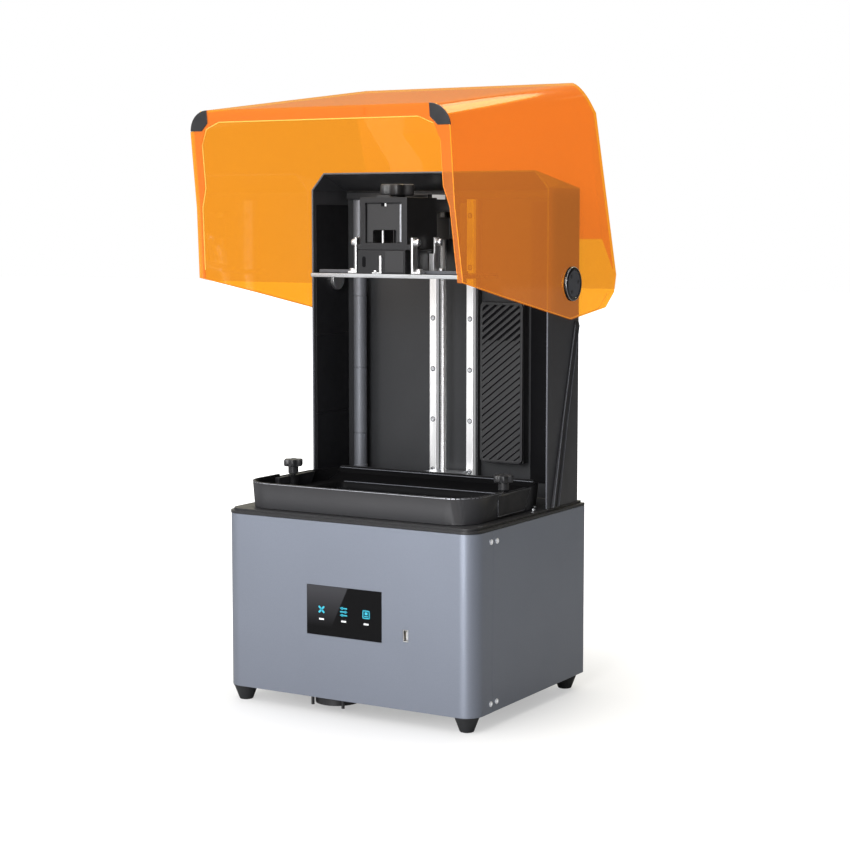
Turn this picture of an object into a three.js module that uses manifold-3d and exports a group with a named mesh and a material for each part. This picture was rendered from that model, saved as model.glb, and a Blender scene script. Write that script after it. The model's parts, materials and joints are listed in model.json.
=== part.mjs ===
// Desktop resin printer with a tilting transparent lid.
// Millimetres, +Z up, front towards -Y. While the shapes are drawn, X = 0 is the
// plane of symmetry, Y = 0 the middle of the housing's depth and Z = 0 the table.
// The finished group is moved by FRAME_Y, so that its origin is centred.
import * as THREE from 'three';
import { mergeVertices } from 'three/addons/utils/BufferGeometryUtils.js';
import { ConvexGeometry } from 'three/addons/geometries/ConvexGeometry.js';
import Module from 'manifold-3d';

const wasm = await Module();
wasm.setup();

const GAP = 0.3;
const FRAME_Y = -17.4;

// Housing
const HOUSING_X = 161.5;
const HOUSING_Y = 130.5;
const HOUSING_BOTTOM = 17.5;
const HOUSING_TOP = 214.5;
const HOUSING_R = 19.5;
const SHEET = 1.5;
const SEAM_Y = -90;
const DECK_LIP = 217.3;
const DECK_TOP = 220;

// Tower
const TOWER_X = 157.4;
const TOWER_FRONT = 42.3;
const TOWER_BACK = 118.4;
const TOWER_SHOULDER = 577.5;
const TOWER_ROOF = 597;
const TOWER_ROOF_BACK = 578.4;
const TOWER_ROOF_X = 140.5;
const TOWER_WALL = 2;

// Lid, drawn closed and then tilted open about its hinge
const HINGE_Y = 88.3;
const HINGE_Z = 470.8;
const LID_OPEN = 83.2;
const LID_X = 162.5;
const LID_FRONT = -131.4;
const LID_BOTTOM = 220.7;
const LID_R = 23.5;
const LID_WALL = 2.6;
const LID_FLANGE = 3;

// Screw, rails and platform
const SCREW_Y = 81;
const RAIL_X = 25;
const CARRIAGE_X = 19.7;
const RAIL_FRONT = 100;
const PLATE_BOTTOM = 478.4;

// Vat
const POOL_X = 121;
const POOL_FRONT = -97;
const POOL_BACK = 43;
const VAT_FRONT = -117.5;
const VAT_X = 148.5;
const VAT_BOTTOM = 220.5;
const VAT_SHELF = 236;
const VAT_RIM = 249.5;

const group = new THREE.Group();

// ---- solids ----

function solid(geometry) {
  let g = geometry.clone();
  g.deleteAttribute('normal');
  g.deleteAttribute('uv');
  g = mergeVertices(g, 1e-4);
  const mesh = new wasm.Mesh({
    numProp: 3,
    vertProperties: new Float32Array(g.attributes.position.array),
    triVerts: new Uint32Array(g.index.array),
  });
  return new wasm.Manifold(mesh);
}

function outline(points) {
  return new THREE.Shape(points.map(([u, v]) => new THREE.Vector2(u, v)));
}

function extrude(shape, depth, curveSegments = 8) {
  return new THREE.ExtrudeGeometry(shape, { depth, bevelEnabled: false, curveSegments });
}

// A plan outline (x, y) standing from z0 to z1.
function slab(points, z0, z1) {
  return solid(extrude(outline(points), z1 - z0).translate(0, 0, z0));
}

// A side outline (y, z) from x0 to x1.
function side(points, x0, x1) {
  const g = extrude(outline(points), x1 - x0);
  g.applyMatrix4(new THREE.Matrix4().set(0, 0, 1, x0, 1, 0, 0, 0, 0, 1, 0, 0, 0, 0, 0, 1));
  return solid(g);
}

// A front outline (x, z) from y0 to y1.
function front(points, y0, y1) {
  const g = extrude(outline(points), y1 - y0);
  g.applyMatrix4(new THREE.Matrix4().set(1, 0, 0, 0, 0, 0, -1, y1, 0, 1, 0, 0, 0, 0, 0, 1));
  return solid(g);
}

function box(x0, x1, y0, y1, z0, z1) {
  const g = new THREE.BoxGeometry(x1 - x0, y1 - y0, z1 - z0);
  return solid(g.translate((x0 + x1) / 2, (y0 + y1) / 2, (z0 + z1) / 2));
}

// A cylinder or cone along Z, about (x, y).
function post(x, y, z0, z1, r0, r1 = r0, segments = 24) {
  const g = new THREE.CylinderGeometry(r1, r0, z1 - z0, segments).rotateX(Math.PI / 2);
  return solid(g.translate(x, y, (z0 + z1) / 2));
}

// A cylinder along X, about (y, z).
function pin(x0, x1, y, z, r, segments = 32) {
  const g = new THREE.CylinderGeometry(r, r, x1 - x0, segments).rotateZ(Math.PI / 2);
  return solid(g.translate((x0 + x1) / 2, y, z));
}

// A cylinder along Y, about (x, z).
function barrel(x, z, y0, y1, r, segments = 24) {
  const g = new THREE.CylinderGeometry(r, r, y1 - y0, segments);
  return solid(g.translate(x, (y0 + y1) / 2, z));
}

// A rectangle with its own radius at each corner: front left, front right, back right, back left.
function rounded(x0, x1, y0, y1, radii, steps = 6) {
  const centres = [[x0, y0, 1, 1], [x1, y0, -1, 1], [x1, y1, -1, -1], [x0, y1, 1, -1]];
  const points = [];
  centres.forEach(([x, y, sx, sy], i) => {
    const r = radii[i];
    if (r === 0) {
      points.push([x, y]);
      return;
    }
    const start = Math.PI + (i * Math.PI) / 2;
    for (let k = 0; k <= steps; k += 1) {
      const a = start + (k / steps) * (Math.PI / 2);
      points.push([x + sx * r + r * Math.cos(a), y + sy * r + r * Math.sin(a)]);
    }
  });
  return points;
}

// A large block on the far side of the plane through three points, seen from an inside point.
function beyond(a, b, c, inside, inset = 0) {
  const [p, q, r, s] = [a, b, c, inside].map((v) => new THREE.Vector3(...v));
  const normal = q.clone().sub(p).cross(r.clone().sub(p)).normalize();
  if (normal.dot(s.clone().sub(p)) > 0) {
    normal.negate();
  }
  const g = new THREE.BoxGeometry(3000, 3000, 1000).translate(0, 0, 500 - inset);
  g.applyQuaternion(new THREE.Quaternion().setFromUnitVectors(new THREE.Vector3(0, 0, 1), normal));
  return solid(g.translate(p.x, p.y, p.z));
}

function hull(points) {
  return solid(new ConvexGeometry(points.map((p) => new THREE.Vector3(...p))));
}

function join(...parts) {
  return parts.reduce((a, b) => a.add(b));
}

function cut(base, ...tools) {
  return tools.reduce((a, b) => a.subtract(b), base);
}

function mirrored(points) {
  return points.map(([x, y, z]) => [-x, y, z]);
}

// ---- nodes ----

function add(name, shape, colour, roughness, metalness, opacity = 1, parent = group) {
  const m = shape.getMesh();
  const geometry = new THREE.BufferGeometry();
  geometry.setAttribute('position', new THREE.BufferAttribute(new Float32Array(m.vertProperties), 3));
  geometry.setIndex(new THREE.BufferAttribute(new Uint32Array(m.triVerts), 1));
  geometry.computeVertexNormals();
  const material = new THREE.MeshStandardMaterial({
    color: colour,
    roughness,
    metalness,
    opacity,
    transparent: opacity < 1,
  });
  const mesh = new THREE.Mesh(geometry, material);
  mesh.name = name;
  parent.add(mesh);
  return mesh;
}

const HOUSING_PAINT = [0x6f7585, 0.42, 0.55];
const BLACK = [0x17181a, 0.45, 0];
const GLOSS_BLACK = [0x0b0b0c, 0.12, 0];
const DARK_SHEET = [0x2c2d30, 0.5, 0.3];
const ALUMINIUM = [0xc9ccd0, 0.32, 0.9];
const STEEL = [0xb4b7bb, 0.25, 1];
const BOARD = [0x12502e, 0.6, 0];

// ---- housing ----

const plan = rounded(-HOUSING_X, HOUSING_X, -HOUSING_Y, HOUSING_Y, [HOUSING_R, HOUSING_R, 2, 2], 10);
const planInside = rounded(-HOUSING_X + SHEET, HOUSING_X - SHEET, -HOUSING_Y + SHEET,
  HOUSING_Y - SHEET, [HOUSING_R - SHEET, HOUSING_R - SHEET, 0.5, 0.5], 10);
const wrap = cut(slab(plan, HOUSING_BOTTOM, HOUSING_TOP - GAP),
  slab(planInside, HOUSING_BOTTOM - 1, HOUSING_TOP + 1));

const SCREEN = [-49.9, 46.8, 88.3, 143.4];
const USB = [74.1, 80.4, 92.3, 105.3];
add('front_wrap_panel', cut(wrap,
  box(-200, 200, SEAM_Y, 200, 0, 300),
  box(SCREEN[0] - GAP, SCREEN[1] + GAP, -140, -120, SCREEN[2] - GAP, SCREEN[3] + GAP),
  box(USB[0] - GAP, USB[1] + GAP, -140, -120, USB[2] - GAP, USB[3] + GAP)), ...HOUSING_PAINT);

const REAR_FAN = [95, 120];
const INLET = [-110, 60];
const ROCKER = [-110, 96];
add('rear_wrap_panel', cut(wrap,
  box(-200, 200, -200, SEAM_Y + 0.5, 0, 300),
  barrel(REAR_FAN[0], REAR_FAN[1], 120, 140, 28),
  box(INLET[0] - 14, INLET[0] + 14, 120, 140, INLET[1] - 10.3, ROCKER[1] + 8)), ...HOUSING_PAINT);

const innerR = HOUSING_R - SHEET - GAP;
const FLOOR_X = HOUSING_X - SHEET - GAP;
const FLOOR_Y = HOUSING_Y - SHEET - GAP;
const floorPlan = rounded(-FLOOR_X, FLOOR_X, -FLOOR_Y, FLOOR_Y, [innerR, innerR, 0, 0]);
const FAN = [-32, -97];
add('base_plate', cut(slab(floorPlan, HOUSING_BOTTOM, HOUSING_BOTTOM + 2),
  post(FAN[0], FAN[1], 0, 30, 22)), ...DARK_SHEET);

const FOOT = [144.5, 115.4];
const feet = [['front_left', -1, -1], ['front_right', 1, -1], ['rear_left', -1, 1], ['rear_right', 1, 1]];
for (const [place, sx, sy] of feet) {
  add(`foot_${place}`, post(sx * FOOT[0], sy * FOOT[1], 0, HOUSING_BOTTOM - GAP, 8, 14, 28),
    ...BLACK);
}

// An axial fan: square flange, round duct and a bladed rotor. Its axis is Z.
function fanFrame(size, duct, height, flange = height) {
  const h = size / 2;
  const body = join(slab(rounded(-h, h, -h, h, [4, 4, 4, 4], 2), 0, flange),
    post(0, 0, 0, height, duct + 1.8, duct + 1.8, 32));
  const hub = post(0, 0, height - 1.5, height, size * 0.2);
  const spokes = [0, 1].map((i) => {
    const spoke = new THREE.BoxGeometry(size * 0.96, 3, 1.5).rotateZ(0.4 + (i * Math.PI) / 2);
    return solid(spoke.translate(0, 0, height - 0.75));
  });
  return join(cut(body, post(0, 0, -1, height + 1, duct, duct, 32)), hub, ...spokes);
}

function fanRotor(radius, height, blades = 7) {
  const parts = [post(0, 0, 0, height, radius * 0.42)];
  for (let i = 0; i < blades; i += 1) {
    const blade = new THREE.BoxGeometry(radius * 0.62, 1.2, height * 0.8);
    blade.rotateX(0.6).translate(radius * 0.69, 0, height / 2);
    blade.rotateZ((i * 2 * Math.PI) / blades);
    parts.push(solid(blade));
  }
  return join(...parts);
}

const bottomFan = new THREE.Group();
bottomFan.position.set(FAN[0], FAN[1], HOUSING_BOTTOM - GAP);
bottomFan.rotation.x = Math.PI;
group.add(bottomFan);
const pegs = [[-20, -20], [20, -20], [20, 20], [-20, 20]].map(([x, y]) => post(x, y, 1, 12, 1.9, 1.9, 10));
add('intake_fan_frame', join(fanFrame(50, 23, 10, 2), ...pegs), ...BLACK, 1, bottomFan);
const intakeRotor = add('intake_fan_rotor', fanRotor(21.5, 6), ...BLACK, 1, bottomFan);
intakeRotor.position.z = 1.2;

const rearFan = new THREE.Group();
rearFan.position.set(REAR_FAN[0], HOUSING_Y - SHEET - GAP, REAR_FAN[1]);
rearFan.rotation.x = Math.PI / 2;
group.add(rearFan);
add('exhaust_fan_frame', fanFrame(60, 28, 15), ...BLACK, 1, rearFan);
const exhaustRotor = add('exhaust_fan_rotor', fanRotor(26.5, 10), ...BLACK, 1, rearFan);
exhaustRotor.position.z = 2;

// ---- deck ----

const LCD_Y = -27;
const lipPlan = rounded(-HOUSING_X, HOUSING_X, -HOUSING_Y, HOUSING_Y, [18, 18, 2, 2], 10);
const topPlan = rounded(-158, 158, -127, 128, [15, 15, 2, 2], 10);
const CATCH = [153.5, -97.4];
add('deck_plate', cut(
  join(slab(lipPlan, HOUSING_TOP, DECK_LIP), slab(topPlan, DECK_LIP - 1, DECK_TOP)),
  box(-98, 98, LCD_Y - 61, LCD_Y + 61, 210, 230),
  box(-102.5, 102.5, LCD_Y - 64.5, LCD_Y + 64.5, 217.4, 230),
  post(0, SCREW_Y, 210, 230, 12),
  box(CATCH[0] - 3.6, CATCH[0] + 3.6, CATCH[1] - 7.3, CATCH[1] + 7.3, 210, 230)), ...BLACK);
add('exposure_screen', box(-102.2, 102.2, LCD_Y - 64.2, LCD_Y + 64.2, 217.7, 219.9), ...GLOSS_BLACK);
add('lid_catch', box(CATCH[0] - 3.3, CATCH[0] + 3.3, CATCH[1] - 7, CATCH[1] + 7, 214.8, 220.4), ...BLACK);

// ---- front controls ----

add('touch_screen', join(
  box(SCREEN[0], SCREEN[1], -HOUSING_Y - 0.4, -128, SCREEN[2], SCREEN[3]),
  box(SCREEN[0] - 4, SCREEN[1] + 4, -128.6, -121, SCREEN[2] - 4, SCREEN[3] + 4)), ...GLOSS_BLACK);
add('usb_port', join(cut(
  box(USB[0], USB[1], -HOUSING_Y, -113, USB[2], USB[3]),
  box(USB[0] + 0.7, USB[1] - 0.7, -140, -116, USB[2] + 0.7, USB[3] - 0.7)),
box(USB[0] + 3.1, USB[0] + 4.6, -129, -115, USB[2] + 1.8, USB[3] - 1.8)), ...STEEL);

// ---- inside the housing ----

const LIGHT = [-108, 108, LCD_Y - 70, LCD_Y + 70];
add('light_housing', cut(
  box(LIGHT[0], LIGHT[1], LIGHT[2], LIGHT[3], 128, 214),
  box(LIGHT[0] + 3, LIGHT[1] - 3, LIGHT[2] + 3, LIGHT[3] - 3, 131, 220),
  box(-60, 60, LCD_Y - 30, LCD_Y + 30, 120, 140)), ...BLACK);
const lenses = [];
for (let i = 0; i < 6; i += 1) {
  for (let j = 0; j < 3; j += 1) {
    lenses.push(post(-80 + i * 32, LCD_Y - 36 + j * 36, 132, 138, 7, 5, 10));
  }
}
add('led_array', join(box(-100, 100, LCD_Y - 62, LCD_Y + 62, 131.3, 133), ...lenses), ...BOARD);
const fins = [];
for (let i = 0; i < 9; i += 1) {
  const x = -54 + i * 13.2;
  fins.push(box(x, x + 2.4, LCD_Y - 28, LCD_Y + 28, 96, 124));
}
add('heat_sink', join(box(-58, 58, LCD_Y - 28, LCD_Y + 28, 122, 131), ...fins), ...ALUMINIUM);
add('mainboard', join(box(30, 150, -85, 40, 28, 29.6), box(60, 90, -60, -35, 29, 33),
  box(105, 125, -20, 10, 29, 38), box(40, 52, 0, 30, 29, 36)), ...BOARD);
add('power_supply', box(-150, -70, -80, 50, 24, 62), ...ALUMINIUM);
add('power_inlet', cut(
  join(box(INLET[0] - 13.7, INLET[0] + 13.7, 108, HOUSING_Y, INLET[1] - 10, ROCKER[1] + 7.7),
    box(INLET[0] - 18, INLET[0] + 18, 122, HOUSING_Y - SHEET - GAP, INLET[1] - 13, ROCKER[1] + 11)),
  box(INLET[0] - 11, INLET[0] + 11, 112, 140, INLET[1] - 7.5, INLET[1] + 7.5),
  box(ROCKER[0] - 9.3, ROCKER[0] + 9.3, 116, 140, ROCKER[1] - 5.3, ROCKER[1] + 5.3)), ...BLACK);
const rockerShape = front([[-8.6, -5], [8.6, -5], [8.8, 2.4], [0, 0.6], [-8.8, 2.4]], -4.8, 4.8);
const rockerGroup = new THREE.Group();
rockerGroup.position.set(ROCKER[0], HOUSING_Y - 1.5, ROCKER[1]);
group.add(rockerGroup);
const rockerMesh = add('power_rocker', rockerShape, ...BLACK, 1, rockerGroup);
rockerMesh.rotation.x = -Math.PI / 2;

// ---- tower ----

function towerProfile(inset) {
  const x = TOWER_X - inset;
  const slope = (TOWER_X - TOWER_ROOF_X) / (TOWER_ROOF - TOWER_SHOULDER);
  const roof = TOWER_ROOF - inset;
  const top = TOWER_ROOF_X - inset * 0.44;
  return [[-x, DECK_TOP + GAP - inset], [x, DECK_TOP + GAP - inset], [x, roof - (x - top) / slope],
    [top, roof], [-top, roof], [-x, roof - (x - top) / slope]];
}

const roofDrop = [[-50, TOWER_FRONT, TOWER_ROOF], [50, TOWER_FRONT, TOWER_ROOF],
  [0, TOWER_BACK, TOWER_ROOF_BACK]];
const towerOuter = cut(front(towerProfile(0), TOWER_FRONT, TOWER_BACK), beyond(...roofDrop, [0, 80, 300]));
const towerInner = cut(front(towerProfile(TOWER_WALL), TOWER_FRONT - 5, TOWER_BACK + 5),
  beyond(...roofDrop, [0, 80, 300], TOWER_WALL));
add('tower_shell', cut(towerOuter, towerInner, pin(-200, 200, HINGE_Y, HINGE_Z, 6.4)), ...DARK_SHEET);

const rearOutline = towerProfile(TOWER_WALL + GAP).map(([x, z]) => [x, Math.max(z, DECK_TOP + GAP)]);
add('tower_rear_panel', cut(front(rearOutline, TOWER_BACK - 2.2, TOWER_BACK),
  beyond(...roofDrop, [0, 80, 300], TOWER_WALL + GAP)), ...DARK_SHEET);

add('z_column', box(-32, 32, 107, 115.9, DECK_TOP + GAP, 566.5), ...DARK_SHEET);
for (const [place, s] of [['left', -1], ['right', 1]]) {
  add(`rail_${place}`, box(s * RAIL_X - 4.5, s * RAIL_X + 4.5, RAIL_FRONT, 106.7, 232, 566), ...STEEL);
}
add('tower_beam', box(-150, 150, 106, 115.9, 567, 575), ...DARK_SHEET);
add('purifier_body', slab(rounded(39, 95, 103.3, 115.9, [1, 1, 1, 1], 1), 260.5, 447.5), ...BLACK);
const slots = [];
for (let i = 0; i < 9; i += 1) {
  const slot = new THREE.BoxGeometry(46, 8, 4).rotateY(-0.45);
  slots.push(solid(slot.translate(67, 98, 282 + i * 17.5)));
}
add('purifier_grille', cut(box(39, 95, 99.4, 103, 260.5, 447.5), ...slots), ...BLACK);
add('pillar', post(-127, 100, DECK_TOP + GAP, 566.5, 8.5), ...BLACK);

// Motor under the deck, coupling, bearing and screw, all about one vertical axis
add('z_motor', join(box(-21, 21, SCREW_Y - 21, SCREW_Y + 21, 170, 214),
  post(0, SCREW_Y, 213, 229, 2.5)), ...STEEL);
add('screw_coupling', cut(post(0, SCREW_Y, 221, 237, 9.5),
  post(0, SCREW_Y, 220, 229.5, 2.9), post(0, SCREW_Y, 229, 238, 4.4)), ...ALUMINIUM);
add('lead_screw', post(0, SCREW_Y, 230, 560, 4), ...STEEL);
add('lower_bearing_block', cut(box(-22, 22, 66, 99.6, 240, 248),
  post(0, SCREW_Y, 230, 250, 4.7)), ...ALUMINIUM);

// Struts on the tower's sides, in front of which the closed lid ends
for (const [place, s] of [['left', -1], ['right', 1]]) {
  const x = s * (TOWER_X + GAP);
  const foot = [51.2, 65].map((y) => [y, 220.7]);
  const middle = [81, 92.5].map((y) => [y, 330]);
  const top = [[106.6, 423], [117, 423], [115.5, 428], [112, 430], [108.4, 428]];
  const proud = (points, height) => points.flatMap(([y, z]) => [[x, y, z], [x + s * height, y, z]]);
  add(`side_strip_${place}`, join(hull([...proud(foot, 4), ...proud(middle, 1.7)]),
    hull([...proud(middle, 1.7), ...proud(top, 1.7)])), ...BLACK);
}

// ---- lid ----

const lidGroup = new THREE.Group();
lidGroup.position.set(0, HINGE_Y, HINGE_Z);
lidGroup.rotation.x = THREE.MathUtils.degToRad(-LID_OPEN);
group.add(lidGroup);
const lidShift = [0, -HINGE_Y, -HINGE_Z];

const lidFacets = [
  [[-50, -131.4, 542.7], [50, -131.4, 542.7], [0, -41, 587.6]],
  [[-50, -41, 587.6], [50, -41, 587.6], [0, 55.3, 608.3]],
];
const shoulder = [[162.5, -96.1, 553.2], [162.5, 95, 588.8], [138.5, 55.3, 608.3]];
const cornerFacet = [[162.5, -111.3, 538.1], [162.5, -96.1, 553.2], [139, -131.4, 542.7]];
lidFacets.push(shoulder, mirrored(shoulder), cornerFacet, mirrored(cornerFacet));

function lidBlock(inset, back, bottom) {
  const x = LID_X - inset;
  const r = LID_R - inset;
  const block = slab(rounded(-x, x, LID_FRONT + inset, back, [r, r, 0, 0], 12), bottom, 640);
  return cut(block, ...lidFacets.map((f) => beyond(...f, [0, 20, 400], inset)));
}

function flare(inset) {
  const z = LID_BOTTOM + (inset ? LID_FLANGE : 0);
  return (s) => hull([
    [s * (140), -26.7, z], [s * (LID_X - inset), -26.7, z], [s * 140, 82, 321],
    [s * (LID_X - inset), 82, 321], [s * 140, 50.2 + (inset ? 20 : 0), z],
    [s * (166.8 - inset + (inset ? 0.8 : 0)), 50.2 + (inset ? 20 : 0), z],
  ]);
}

const lidSide = [[-131.4, 220.7], [50.2, 220.7], [128.5, 468], [128.7, 556.8], [114.2, 581.4],
  [95, 588.8], [95, 640], [-131.4, 640]];
const lidOuter = join(lidBlock(0, 140, LID_BOTTOM), flare(0)(1), flare(0)(-1))
  .intersect(side(lidSide, -200, 200));
const rim = [[124.9, -118.9], [142.6, -111.6], [149.9, -93.9], [149.9, -48],
  [156.2, -26.7], [159.9, 42.3], [159.9, 200]];
const rimOpening = [...rim, ...[...rim].reverse().map(([x, y]) => [-x, y])];
const openBack = [[-138.5, 55.3], [138.5, 55.3], [159.9, 91], [159.9, 300], [-159.9, 300], [-159.9, 91]];
const padOutline = [[138.7, -140], [138.7, -117.4], [147.4, -108.9], [170, -108.9], [170, -140]];
const lidShell = cut(lidOuter,
  lidBlock(LID_WALL, 300, LID_BOTTOM + LID_FLANGE),
  flare(LID_WALL)(1), flare(LID_WALL)(-1),
  slab(rimOpening, 200, 224),
  slab(openBack, 200, 700),
  box(61.2, 62.8, -129, -121, 219, 225),
  slab(padOutline, 200, 223),
  slab(mirrored(padOutline).reverse(), 200, 223),
  pin(-200, 200, HINGE_Y, HINGE_Z, 6.4));
add('lid_shell', lidShell.translate(lidShift), 0xf58220, 0.08, 0, 0.55, lidGroup);

for (const [place, s] of [['left', -1], ['right', 1]]) {
  const corner = rounded(-LID_X, LID_X, LID_FRONT, 0, [LID_R, LID_R, 0, 0], 12);
  const keep = [[139, -140], [139, -117.7], [147.6, -109.2], [170, -109.2], [170, -140]];
  const pad = slab(corner, LID_BOTTOM, 222.7)
    .intersect(slab(s > 0 ? keep : mirrored(keep).reverse(), 200, 230));
  add(`lid_pad_${place}`, pad.translate(lidShift), ...BLACK, 1, lidGroup);
  const cap = cut(pin(Math.min(s * 162.8, s * 166.6), Math.max(s * 162.8, s * 166.6), HINGE_Y, HINGE_Z, 19.4, 40),
    pin(Math.min(s * 160, s * 165.2), Math.max(s * 160, s * 165.2), HINGE_Y, HINGE_Z, 6.4));
  add(`hinge_cap_${place}`, cap.translate(lidShift), ...GLOSS_BLACK, 1, lidGroup);
  const x0 = Math.min(s * 155, s * 164.6);
  const x1 = Math.max(s * 155, s * 164.6);
  const washer = pin(Math.min(s * 157.7, s * 159.6), Math.max(s * 157.7, s * 159.6), HINGE_Y, HINGE_Z, 15);
  const head = pin(Math.min(s * 150, s * 155.1), Math.max(s * 150, s * 155.1), HINGE_Y, HINGE_Z, 12);
  add(`hinge_pin_${place}`, join(pin(x0, x1, HINGE_Y, HINGE_Z, 6), washer, head), ...STEEL);
}

// ---- carriage and platform ----

// The carriage fits between the two rails and slides along their inner faces.
const carriageBody = join(box(-CARRIAGE_X, CARRIAGE_X, 86, 104, 505, 562), box(-14, 14, 70, 87, 520, 545));
add('z_carriage', cut(carriageBody, post(0, SCREW_Y, 400, 600, 4.6)), ...ALUMINIUM);
add('platform_arm', cut(box(-18, 18, 15.3, 85.7, 551, 571), box(-7, 7, 72, 90, 540, 580)), ...ALUMINIUM);

add('head_frame', cut(box(-30.5, 30.5, -50, 15, 509.3, 567),
  box(-23.5, 23.5, -55, -46.5, 517, 561),
  box(-27, 27, -43, 20, 505, 563.5),
  front([[-16, 517], [16, 517], [16, 529], [14, 531], [-14, 531], [-16, 529]], -60, -40),
  post(0, -20, 550, 580, 4.4)), ...BLACK);
add('mount_block', join(cut(box(-34, 34, -50, 12, 483, 509), box(28, 40, -60, -28, 480, 510)),
  post(0, -20, 500, 566, 4)), ...DARK_SHEET);
add('build_plate', slab(rounded(-96.5, 96.5, -52, 40, [2, 2, 2, 2], 2), PLATE_BOTTOM, 482.7), ...ALUMINIUM);
for (const [place, s] of [['left', -1], ['right', 1]]) {
  for (const [end, y] of [['front', -46], ['rear', 2]]) {
    const [a, b] = [s * 35.4, s * 37.9].sort((p, q) => p - q);
    const [c, d] = [s * 35.4, s * 47].sort((p, q) => p - q);
    add(`bracket_${end}_${place}`, join(box(a, b, y - 4, y + 6, 483, 523),
      box(c, d, y - 4, y + 6, 483, 485.5)), ...STEEL);
  }
}

function lobedKnob(x, y, z0, z1, radius, lobes = 6) {
  const shape = new THREE.Shape();
  const steps = lobes * 8;
  for (let i = 0; i < steps; i += 1) {
    const a = (i / steps) * 2 * Math.PI;
    const r = radius * (0.87 + 0.13 * Math.cos(lobes * a));
    const point = [r * Math.cos(a), r * Math.sin(a)];
    if (i === 0) {
      shape.moveTo(...point);
    } else {
      shape.lineTo(...point);
    }
  }
  shape.closePath();
  return solid(extrude(shape, z1 - z0).translate(x, y, z0));
}

add('head_knob', cut(join(lobedKnob(0, -20, 567.3, 582, 21), post(0, -20, 567.2, 569, 9)),
  post(0, -20, 560, 568, 4.4)), ...BLACK);

// ---- vat ----

// The vat's outline in plan, drawn in by an inset, with its own inset at the back;
// the sides taper towards the back corners.
function vatOutline(inset, z, rear = inset) {
  const x = VAT_X - inset;
  const r = 35 - inset;
  const frontCorners = rounded(-x, x, VAT_FRONT + inset, 63, [r, r, 0, 0], 10).slice(0, 22);
  const back = [[x, 21], [136 - inset, 63 - rear], [-136 + inset, 63 - rear], [-x, 21]];
  return [...frontCorners, ...back].map(([px, py]) => [px, py, z]);
}

const poolPlan = rounded(-POOL_X, POOL_X, POOL_FRONT, POOL_BACK, [14, 14, 14, 14], 6);
const vatOuter = hull([...vatOutline(2.2, VAT_BOTTOM), ...vatOutline(0, VAT_RIM)]);
const ledge = beyond([-50, POOL_BACK, VAT_SHELF - 3], [50, POOL_BACK, VAT_SHELF - 3],
  [0, 60.5, VAT_SHELF + 5.5], [0, 50, 300]);
const vatInner = cut(
  hull([...vatOutline(4.7, VAT_SHELF - 3, 2.6), ...vatOutline(2.5, VAT_RIM + 0.5)]), ledge);
const VAT_KNOB = [139.2, -26.2];
const bosses = [-VAT_KNOB[0], VAT_KNOB[0]].map((x) => post(x, VAT_KNOB[1], VAT_SHELF - 5, 247, 6, 6, 20));
add('vat_body', cut(join(cut(vatOuter, vatInner), ...bosses.map((boss) => boss.intersect(vatOuter))),
  slab(poolPlan, 200, 260),
  slab(rounded(-132.3, 132.3, -107.3, 52.3, [20, 20, 4, 4], 4), 200, 223.8),
  box(-200, -130, -44, 63, 247, 260),
  box(130, 200, -44, 63, 247, 260),
  post(-VAT_KNOB[0], VAT_KNOB[1], 200, 300, 2.9),
  post(VAT_KNOB[0], VAT_KNOB[1], 200, 300, 2.9)), ...BLACK);
const ringPlan = rounded(-132, 132, -107, 52, [20, 20, 4, 4], 4);
add('film_frame', cut(slab(ringPlan, 220.5, 222.9), slab(poolPlan, 200, 260)), ...STEEL);
add('release_film', slab(ringPlan, 223.2, 223.4), 0xdfe6ea, 0.1, 0, 0.4);
for (const [place, s] of [['left', -1], ['right', 1]]) {
  const x = s * VAT_KNOB[0];
  add(`vat_knob_${place}`, join(lobedKnob(x, VAT_KNOB[1], 257.5, 265.5, 11.9, 6),
    post(x, VAT_KNOB[1], 222, 258, 2.5, 2.5, 16),
    post(x, VAT_KNOB[1], 248.3, 258, 6, 6, 20)), ...BLACK);
}

group.position.y = FRAME_Y;
group.updateMatrixWorld(true);

export default group;
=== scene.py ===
"""Looks of a desktop resin printer with a tilting transparent lid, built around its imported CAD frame.

Metres, +Z up, front towards -Y. Every place comes from the frame's own boxes and joints.
"""
import json
import math

import bmesh
import bpy
from mathutils import Euler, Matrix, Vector


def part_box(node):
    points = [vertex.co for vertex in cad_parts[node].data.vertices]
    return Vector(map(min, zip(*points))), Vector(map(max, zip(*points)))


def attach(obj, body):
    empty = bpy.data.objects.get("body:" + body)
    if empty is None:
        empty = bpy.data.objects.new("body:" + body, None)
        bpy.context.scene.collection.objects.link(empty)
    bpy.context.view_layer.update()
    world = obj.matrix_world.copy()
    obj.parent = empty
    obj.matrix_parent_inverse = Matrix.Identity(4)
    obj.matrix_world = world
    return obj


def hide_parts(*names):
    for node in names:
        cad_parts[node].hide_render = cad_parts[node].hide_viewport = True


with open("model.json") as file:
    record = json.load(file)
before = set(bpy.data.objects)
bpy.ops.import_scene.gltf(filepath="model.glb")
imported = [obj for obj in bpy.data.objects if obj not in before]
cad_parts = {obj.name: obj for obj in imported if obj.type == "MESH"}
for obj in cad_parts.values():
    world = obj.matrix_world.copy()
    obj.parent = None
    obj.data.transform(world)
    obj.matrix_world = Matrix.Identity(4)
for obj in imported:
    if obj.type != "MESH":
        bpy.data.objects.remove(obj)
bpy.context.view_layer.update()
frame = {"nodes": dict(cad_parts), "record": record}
NODES = frame["nodes"]
MM = 0.001
SIDES = (("left", -1), ("right", 1))


# ---- small helpers for places ----

def middle(node):
    low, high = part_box(node)
    return (low + high) / 2


def mm(*values):
    """Millimetres as a tuple of metres."""
    return tuple(value * MM for value in values)


def angles(count):
    """The angles of a full turn in equal steps."""
    return [2 * math.pi * k / count for k in range(count)]


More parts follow.
